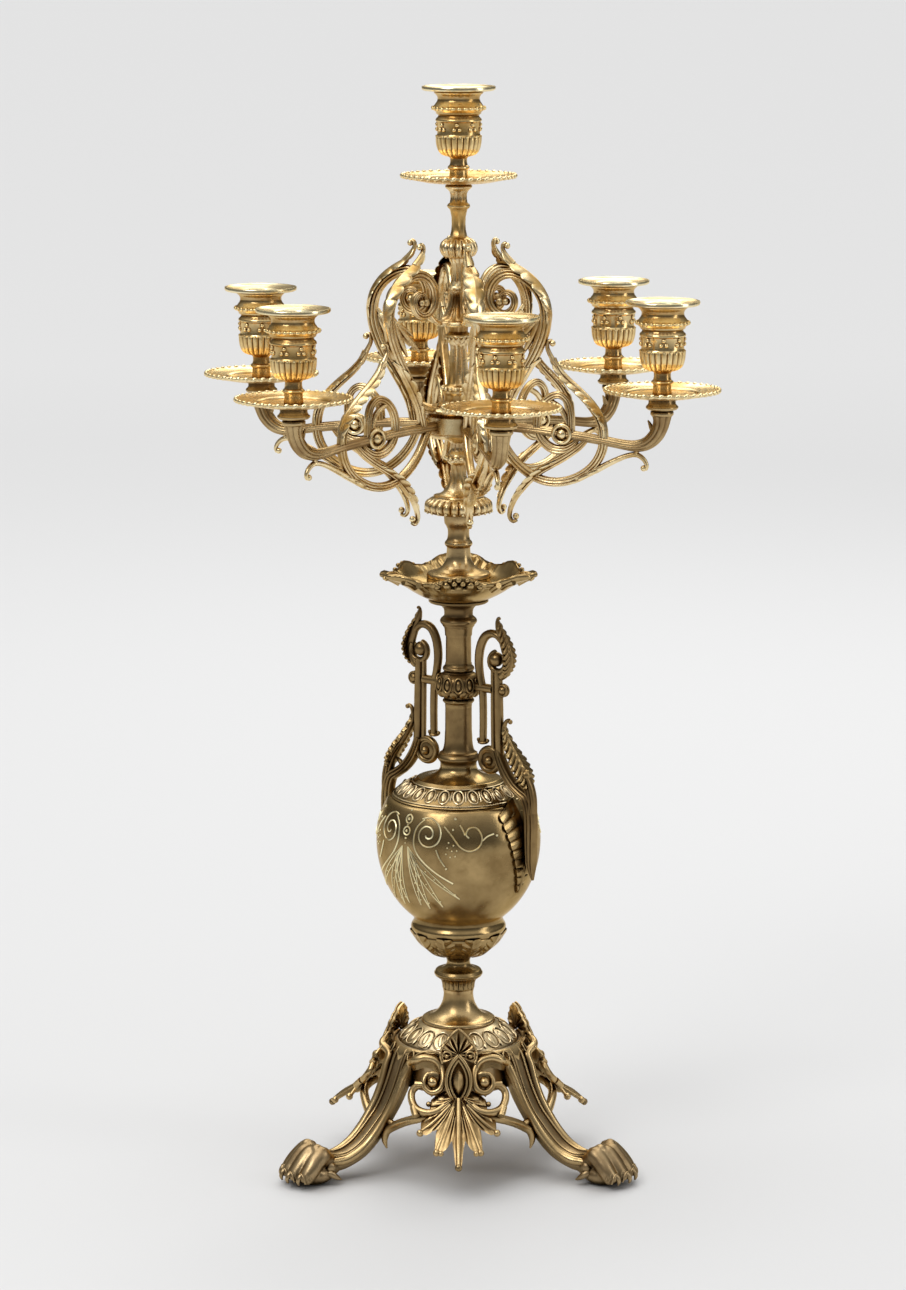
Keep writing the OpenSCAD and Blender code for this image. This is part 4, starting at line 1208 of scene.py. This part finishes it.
def pleated(rows, pleats, height, back):
    """Leaf with slanting pleats along rows of x, z, half width across; its face looks to the right."""
    count = pleats * 7 + 1
    rows = spread(smooth(rows, 6), count)
    u = np.linspace(0, 1, count)[:, None]
    v = np.linspace(-1, 1, PLEAT_COLUMNS)[None, :]
    edge = np.abs(v)
    wave = np.abs(np.sin(math.pi * pleats * u)) ** 0.7 * np.ones_like(v)
    w = rows[:, 2][:, None] * (1 - PLEAT_CUT * (1 - wave) * edge)
    lift = height * wave * np.sqrt(edge) - 0.22 * w * edge ** 2 + 0.9 * np.exp(-(v / 0.12) ** 2)
    slant = -0.55 * rows[:, 2][:, None] * edge
    return plate(beside(rows, -1, slant, lift, w * v), beside(rows, -1, slant, lift - back, w * v))


def globe_fan():
    """Pleated leaf that lies on the urn's globe and narrows downwards."""
    pleats, count, columns = 9, 82, 33
    u = np.linspace(0, 1, count)[:, None]
    v = np.linspace(-1, 1, columns)[None, :]
    edge = np.abs(v)
    wave = np.abs(np.sin(math.pi * pleats * u)) ** 0.6
    half = (17.5 * (1 - u) ** 0.8 + 0.7) * (1 - 0.10 * (1 - wave) * edge)
    z = 230 - 52 * u + (8 - 14 * u) * (1 - edge) * (1 - u)
    lift = 1.0 + 0.9 * wave * np.clip(edge * 3, 0, 1) + 1.6 * np.exp(-(v / 0.16) ** 2)
    layers = []
    for offset in (lift, -0.6 * np.ones_like(lift)):
        r = globe_rho(z) + offset
        a = half * v / GLOBE_R
        layers.append(np.stack([r * np.cos(a), r * np.sin(a), z * np.ones_like(r)], axis=2))
    return plate(*layers)


def handle_form():
    """Scroll handle: two bars with volutes, a leaf at the top, and an S-shaped leg down onto the globe."""
    inner_loop = flat_curl(
        [(19.2, 268.4, 2.2), (19.4, 286, 2.3), (18.8, 302, 2.4), (16.8, 311, 2.6), (15.9, 320, 2.9),
         (17.2, 329, 3.0), (20.6, 335.4, 2.9), (25.4, 338, 2.6), (30, 337.4, 2.3), (33.4, 334.4, 2.0)], 2.5)
    outer_bar = joined(
        flat_curl([(32.4, 262, 2.6), (31.8, 272, 2.8), (31.4, 290, 2.8), (31, 306, 2.7),
                   (30.6, 316, 2.4)], 2.9),
        flat_curl([(27.4, 266, 1.5), (27.2, 290, 1.6), (27, 315, 1.5)], 2.2))
    eye = blob(4.6, 4.4, 4.6, 18).moved(29.4, 0, 322.4)
    volute = sweep(spiral(30.6, 321.4, 5.8, 6.8, 110, 400, 1.7, 2.2, 30), 3.1, ROUND)
    cap_leaf = pleated([(37.6, 313, 2.0), (40.2, 319, 5.0), (40.4, 327, 6.4), (37.4, 335, 5.4),
                        (33.4, 341.6, 3.2), (31, 346.4, 1.2)], 10, 0.8, 1.5)
    cap_bar = tipped([(33, 312, 2.6), (36.8, 316, 3.2), (38.2, 324, 3.6), (35.8, 331.8, 3.3),
                      (32.6, 338.4, 2.5), (30.4, 344.4, 1.5), (30.4, 347.6, 0.9), (31.6, 348.6, 0.7)],
                     (31.8, 348), 0.9)
    knob = joined(ball(3.1, 34.6, 0, 303.6, 14), loop_ring(3.4, 3.4, 0.8).turned(90).moved(34.6, 1.0, 303.6),
                  loop_ring(3.4, 3.4, 0.8).turned(90).moved(34.6, -1.0, 303.6))
    foot_ring = joined(blob(3.6, 3.4, 1.4, 12).moved(19.2, 0, 269.4), ball(1.3, 15.8, 0, 270.6),
                       ball(1.3, 22.6, 0, 270.6))
    low_volute = joined(sweep(spiral(24.6, 259, 7.1, 7.1, 60, 420, 1.9, 1.9, 48), 3.3, ROUND),
                        sweep(spiral(24.6, 259, 3.6, 7.0, -60, 200, 1.1, 1.7, 30), 3.0, ROUND),
                        blob(7, 1.6, 7, 16).moved(24.6, 0, 259))
    low_eye = blob(3.2, 4.8, 3.2, 16).moved(24.8, 0, 258.6)
    leg = flat_curl(
        [(30.6, 266, 3.0), (33.4, 258.6, 3.3), (37.6, 251.4, 3.4), (42.8, 245.6, 3.2), (48.4, 241.6, 3.2),
         (53, 238.4, 3.6), (55.6, 231, 4.1), (56.2, 222, 4.3), (56.2, 212, 4.0), (56.4, 204, 3.6),
         (56.6, 197.6, 3.0), (57.2, 191.6, 1.7), (57.8, 187.6, 0.6)],
        3.6, 6, REEDED)
    outer_leg = flat_curl(
        [(45, 261, 2.2), (50.4, 254, 2.8), (54.6, 246, 3.2), (56.4, 238, 3.4), (56.8, 229, 3.2)], 3.2, 6,
        REEDED)
    wing_bar = tipped([(48, 258, 2.6), (41.6, 267, 2.4), (37, 274.6, 2.0), (35.6, 280.6, 1.5),
                       (37.2, 284.6, 1.2), (39.6, 285.8, 1.0)], (40.2, 284.6), 1.5)
    knuckle = blob(3.0, 3.8, 3.4, 14).moved(52.6, 0, 253)
    spur = flat_curl([(42.4, 244.6, 1.8), (46, 248.6, 1.5), (48.6, 250.4, 0.9)], 2.0)
    lug = flat_curl([(13, 303.5, 3.0), (18, 303.5, 2.8), (27, 303.5, 2.8)], 3.0)
    return joined(inner_loop, outer_bar, eye, volute, cap_leaf, cap_bar, knob, foot_ring, low_volute,
                  low_eye, leg, outer_leg, wing_bar, knuckle, spur, lug)


def handle_wing():
    """Pleated leaf on the outside of a handle's bend."""
    return pleated([(55.4, 246, 3.0), (52.4, 254, 7.6), (47, 262.4, 9.0), (41.4, 270, 7.0),
                    (37.4, 277.4, 3.4), (35.6, 282.4, 1.2)], 10, 0.9, 1.8)


def build_handles():
    """The two handles, with their leaves in a paler brass."""
    handle, pale = handle_form(), joined(handle_wing(), globe_fan())
    turns = {"handle_right": HANDLE_TURN, "handle_left": HANDLE_TURN + 180}
    for node, turn in turns.items():
        place(node, handle.turned(turn), DARK_BRASS, CAST_SHARP)
    for node, turn in turns.items():
        trim(node, node + "_leaves", pale.turned(turn), MATERIALS["old_brass"], CAST_SHARP)


# ---- dish under the branches ----

def dish_form():
    """Three-lobed dish: thick leaf lobes that rise to curled tips, and low rims between them."""
    bowl_r = 33
    a = np.linspace(0, 2 * math.pi, 288, endpoint=False)
    off = np.abs((np.degrees(a) - 90 + 60) % 120 - 60) / 60
    stations = [0, 0.08, 0.16, 0.24, 0.34, 0.46, 0.6, 0.75, 0.88, 1.0]
    reach = np.interp(off, stations, [51.6, 51, 49, 46.4, 43.4, 40.8, 39.2, 38.6, 38.8, 39.2])
    tip_z = np.interp(off, stations, [376.9, 377.2, 377.4, 377, 375.4, 373.6, 373.2, 374.2, 376.6, 377.6])
    scallop = np.abs(np.sin(np.clip(off, 0.05, 0.66) * 5.2 * math.pi)) ** 0.7 * (off > 0.05) * (off < 0.66)
    reach = reach + 1.3 * scallop
    fold = np.sin(np.clip(off, 0, 0.7) * 8.4 * math.pi) * np.clip((0.7 - off) * 4, 0, 1)

    def circle(r, z):
        r, z = r * np.ones_like(a), z * np.ones_like(a)
        return np.stack([r * np.cos(a), r * np.sin(a), z], axis=1)

    def lobed(t, z, top, wave):
        rise = 1.25 * t - 0.25 * t * t
        return circle(bowl_r + (reach - bowl_r) * t, z + (top - z) * rise + wave * t)

    grid = [circle(r, z) for r, z in (
        (AXIS_R, 357.05), (18.2, 357.05), (18.4, 357.2), (21.4, 358.6), (25, 360.4), (29, 362.7),
        (33, 365.4))]
    grid += [lobed(t, 365.4, tip_z - 3.4, 0.5 * fold) for t in np.linspace(0.12, 1, 9)]
    grid += [circle(reach + out, tip_z - down)
             for out, down in ((0.8, 2.4), (1.0, 1.2), (0.4, 0.2), (-0.6, -0.1))]
    grid += [lobed(t, 368.2, tip_z - 0.2, -0.7 * np.abs(fold)) for t in np.linspace(0.9, 0.1, 9)]
    grid += [circle(r, z) for r, z in (
        (31, 366.8), (27, 364.8), (22, 363.4), (19.8, 363.2), (19.6, 370.6), (8, 370.8), (AXIS_R, 370.8))]
    return skin(np.array(grid))


def bowl_rho(z):
    """Radius of the dish's outer face between two lobes, at a height."""
    return min(34.2 + 0.92 * (z - 365.6), 40.4)


PETALS = ((0, 375.4, 2.0), (2.6, 373, 1.8), (5.2, 375.2, 1.6), (7.2, 371.8, 2.3), (10.8, 373.4, 1.7),
          (13, 370.6, 1.8), (0, 370.4, 1.7), (3.6, 369, 1.5))


def dish_trim():
    """Curled tips, leaf edges and flowers of the dish."""
    tips, blooms = [], []
    for k in range(3):
        turn = 90 + 120 * k
        tip = curl([(41, 0, 372.4, 3.2), (45.6, 0, 374.8, 3.2), (49.4, 0, 375.2, 2.6),
                    (52, 0, 373.6, 1.8)], 6, 16)
        tips.append(tip.turned(turn))
        for side in (-1, 1):
            lobe = curl([(36, side * 9, 369, 2.8), (41, side * 11.4, 372, 2.7),
                         (45.6, side * 12, 373.2, 2.3)], 5, 14)
            low_leaf = curl([(33, side * 16, 368, 2.4), (37.4, side * 19, 370.6, 2.2),
                             (39.8, side * 20.4, 371.6, 1.9)], 5, 12)
            tips += [lobe.turned(turn), low_leaf.turned(turn)]
        for aside, z, r in PETALS:
            rho = math.sqrt(bowl_rho(z) ** 2 - aside * aside)
            for y in sorted({-aside, aside}):
                blooms.append(blob(1.5, r, 0.9 * r, 10).moved(rho, y, z).turned(turn + 60))
        for side in (-1, 1):
            for z, rise in ((371.6, 0.8), (368.6, 0.5)):
                rows = [(math.sqrt(bowl_rho(z) ** 2 - y * y), side * y, z + rise * math.sin(y * 0.5), 0.75)
                        for y in (11, 14, 17, 20, 22)]
                blooms.append(curl(rows, 4, 8).turned(turn + 60))
    return joined(*tips, *blooms)


def build_dish():
    """The dish under the branches."""
    place("drip_dish", joined(dish_form(), dish_trim()), sharp=CAST_SHARP)


# ---- engraving on the urn's globe ----

LINE_R = 0.5
FINE_LINE_R = 0.34
MOTIF_TURN = -40


def on_globe(s, z):
    """Point a little out of the globe, s millimetres along it from the middle of the motif."""
    r = float(globe_rho(z)) + 0.05
    a = s / GLOBE_R
    return (r * math.cos(a), r * math.sin(a), z)


def scribed(rows, r=LINE_R):
    """Raised line on the globe through rows of s and z."""
    rows = smooth(rows, 8)
    points = np.array([on_globe(s, z) for s, z in rows])
    return tube(points, r, 6)


def dot(s, z, r=0.62):
    """Raised dot on the globe."""
    x, y, height = on_globe(s, z)
    return ball(r, x, y, height, 8)


def scribed_spiral(s, z, r0, r1, a0, a1, side=1):
    """Raised spiral on the globe, to one side of the motif's middle."""
    t = np.linspace(0, 1, 60)
    reach, a = r0 + (r1 - r0) * t, np.radians(a0 + (a1 - a0) * t)
    points = np.array([on_globe(side * (s + q * math.cos(b)), z + q * math.sin(b)) for q, b in zip(reach, a)])
    return tube(points, LINE_R, 6)


LONG_LEAF_TOP = 210
ENGRAVED_LINES = (
    ((12.4, 227.4), (7.4, 222), (6.2, 214), (9, 206.4), (15, 200), (23, 194), (32, 188.6)),
    ((21.6, 210), (23.6, 205), (27, 199.6)),
    ((26.4, 224), (31.4, 218.6), (36.6, 212), (42.6, 209.4), (48.6, 212), (50.4, 218), (47.4, 223),
     (42.6, 223), (40.4, 219.6), (42.2, 217.4)),
    ((39.6, 219), (38, 222.6), (36.4, 225)),
    ((50.6, 215.4), (54, 217.8), (58.6, 219)))
ENGRAVED_DOTS = (
    (27.8, 198.4, 0.8), (60.6, 218, 0.8), (33.4, 228.6, 0.8), (32, 222.4, 0.7), (29.4, 214.6, 0.55),
    (32.4, 213, 0.55), (28.6, 211.4, 0.55), (31.4, 209.6, 0.55), (34.4, 209.8, 0.55), (27.8, 207.6, 0.55),
    (30.4, 205.8, 0.55), (33.4, 206.4, 0.55))


def long_leaf_rows(reach, foot, stations, aside, belly):
    """Rows of s and z down a long leaf at stations from 0 to 1, moved aside and bellied out."""
    return [(1.5 + 0.9 * reach * t ** 1.5 + aside + belly * math.sin(math.pi * t ** 0.8),
             LONG_LEAF_TOP - (LONG_LEAF_TOP - foot) * t) for t in stations]


def engraving():
    """Scroll motif: two rings, mirrored spirals, trailing tendrils and long leaves."""
    parts = []
    for z in (226.4, 219.4):
        parts.append(scribed_spiral(0, z, 2.5, 2.5, 0, 360))
        parts.append(dot(0, z, 0.9))
    parts += [dot(0, 231.6), dot(0, 222.9, 0.5), dot(0, 215, 0.7), dot(0, 212, 0.5)]
    for side in (-1, 1):
        parts.append(scribed_spiral(15.6, 218.6, 1.2, 10.2, 200, 200 + 640, side))
        for rows in ENGRAVED_LINES:
            parts.append(scribed([(side * s, z) for s, z in rows]))
        parts += [dot(side * s, z, r) for s, z, r in ENGRAVED_DOTS]
        for reach, foot in ((4, 172), (12, 170), (24, 172), (38, 178)):
            for belly in (0, 4.4):
                rows = long_leaf_rows(reach, foot, np.linspace(0, 1, 6), 0.6, belly)
                parts.append(scribed([(side * s, z) for s, z in rows], FINE_LINE_R))
            for s, z in long_leaf_rows(reach, foot, (0.45, 0.6, 0.75, 0.9), 2.6, 0):
                parts.append(dot(side * s, z, 0.5))
    return joined(*parts)


def build_engraving():
    """The motif on both sides of the globe."""
    motif = engraving()
    lines = joined(motif.turned(MOTIF_TURN - 90), motif.turned(MOTIF_TURN + 90))
    trim("urn_body", "urn_engraving", lines, ENGRAVED)


build_lights()
build_branch_stack()
build_stand_stack()
build_base()
build_arms()
build_handles()
build_dish()
build_engraving()


# ---- CAD nodes that keep their shape ----

for name in ("fasteners", "tie_rod", "branch_rod"):
    node = frame["nodes"][name]
    node.data.materials.clear()
    node.data.materials.append(MATERIALS["iron"])


# ---- floor, light and camera ----

# Table greys: the dark front stands in for the unlit studio; the paler far tone is painted light.
FRONT_TONE, NEAR_TONE, FAR_TONE = 0.34, 0.61, 0.72


def grey(level):
    """Opaque grey."""
    return rgb(level, level, level)


def table_material():
    """Pale matt table, painted darker towards the front to stand in for the dark studio that the metal
    reflects, and painted paler to the back to make up for the lamps' light falling off there.
    """
    material = bpy.data.materials.new("pale_table")
    material.use_nodes = True
    tree = material.node_tree
    shader = tree.nodes["Principled BSDF"]
    shader.inputs["Roughness"].default_value = 0.7
    parts = tree.nodes.new("ShaderNodeSeparateXYZ")
    tree.links.new(tree.nodes.new("ShaderNodeTexCoord").outputs["Object"], parts.inputs[0])
    # Darker front table: a painted dark sheet standing in for the unlit studio, seen in the metal's
    # reflections.
    lit = ramp(tree, parts.outputs["Y"], -3.0, -0.7)
    near = blend_colour(tree, lit, grey(FRONT_TONE), grey(NEAR_TONE))
    # Paler far table: painted light where the lamps reach less.
    far = ramp(tree, parts.outputs["Y"], 0.2, 4.2)
    tree.links.new(blend_colour(tree, far, near, grey(FAR_TONE)), shader.inputs["Base Color"])
    return material


def build_floor():
    """The table that everything stands on."""
    half = 40000
    form = Form([(-half, -half, 0), (half, -half, 0), (half, half, 0), (-half, half, 0)], [(0, 1, 2, 3)])
    floor = mesh_piece("floor", form, table_material())


def area_light(name, place_m, aim_m, size_m, power):
    """Soft rectangular light that looks at a point."""
    data = bpy.data.lights.new(name, "AREA")
    data.shape = "RECTANGLE"
    data.size, data.size_y = size_m
    data.energy = power
    lamp = linked(name, data)
    lamp.location = place_m
    aim(lamp, aim_m)


def aim(thing, target):
    """Turns a light to look at a point."""
    away = np.array(target) - np.array(thing.location)
    flat = math.hypot(away[0], away[1])
    thing.rotation_euler = (math.pi / 2 + math.atan2(away[2], flat), 0, math.atan2(-away[0], away[1]))


def build_lamps():
    """Three area lights and a broad sun."""
    centre = (0, 0, 0.4)
    area_light("key", (-1.1, -1.3, 1.9), centre, (0.9, 0.9), 14)
    area_light("fill", (1.8, -0.6, 1.0), centre, (0.5, 1.4), 6)
    area_light("back", (0.5, 1.9, 1.7), centre, (1.6, 0.7), 10)
    sun = bpy.data.lights.new("ceiling", "SUN")
    sun.energy = 1.5
    sun.angle = math.radians(60)
    ceiling = linked("ceiling", sun)
    ceiling.rotation_euler = (math.radians(-12), math.radians(-10), 0)


def build_world():
    """Studio that is dark below and pale overhead."""
    world = bpy.data.worlds.new("studio")
    world.use_nodes = True
    tree = world.node_tree
    sky = tree.nodes["Background"]
    look = tree.nodes.new("ShaderNodeSeparateXYZ")
    tree.links.new(tree.nodes.new("ShaderNodeTexCoord").outputs["Generated"], look.inputs[0])
    shade = tree.nodes.new("ShaderNodeValToRGB")
    tree.links.new(look.outputs["Z"], shade.inputs[0])
    stops = shade.color_ramp.elements
    stops[0].position, stops[0].color = 0.0, grey(0.12)
    stops[1].position, stops[1].color = 1.0, grey(0.95)
    for at, level in ((0.18, 0.14), (0.5, 0.34), (0.72, 0.80)):
        stops.new(at).color = grey(level)
    tree.links.new(shade.outputs[0], sky.inputs["Color"])
    sky.inputs["Strength"].default_value = 1.0
    bpy.context.scene.world = world


CAMERA_PLACE = (-0.0034, -2.565, 0.808)
CAMERA_TILT = 79.4
CAMERA_LENS = 118.2


def build_camera():
    """The view of the reference picture."""
    data = bpy.data.cameras.new("camera")
    data.lens = CAMERA_LENS
    data.sensor_width = 36
    data.clip_end = 200
    camera = linked("camera", data)
    camera.location = CAMERA_PLACE
    camera.rotation_euler = (math.radians(CAMERA_TILT), 0, 0)
    bpy.context.scene.camera = camera


build_floor()
build_lamps()
build_world()
build_camera()
bpy.context.scene.view_settings.view_transform = "Standard"
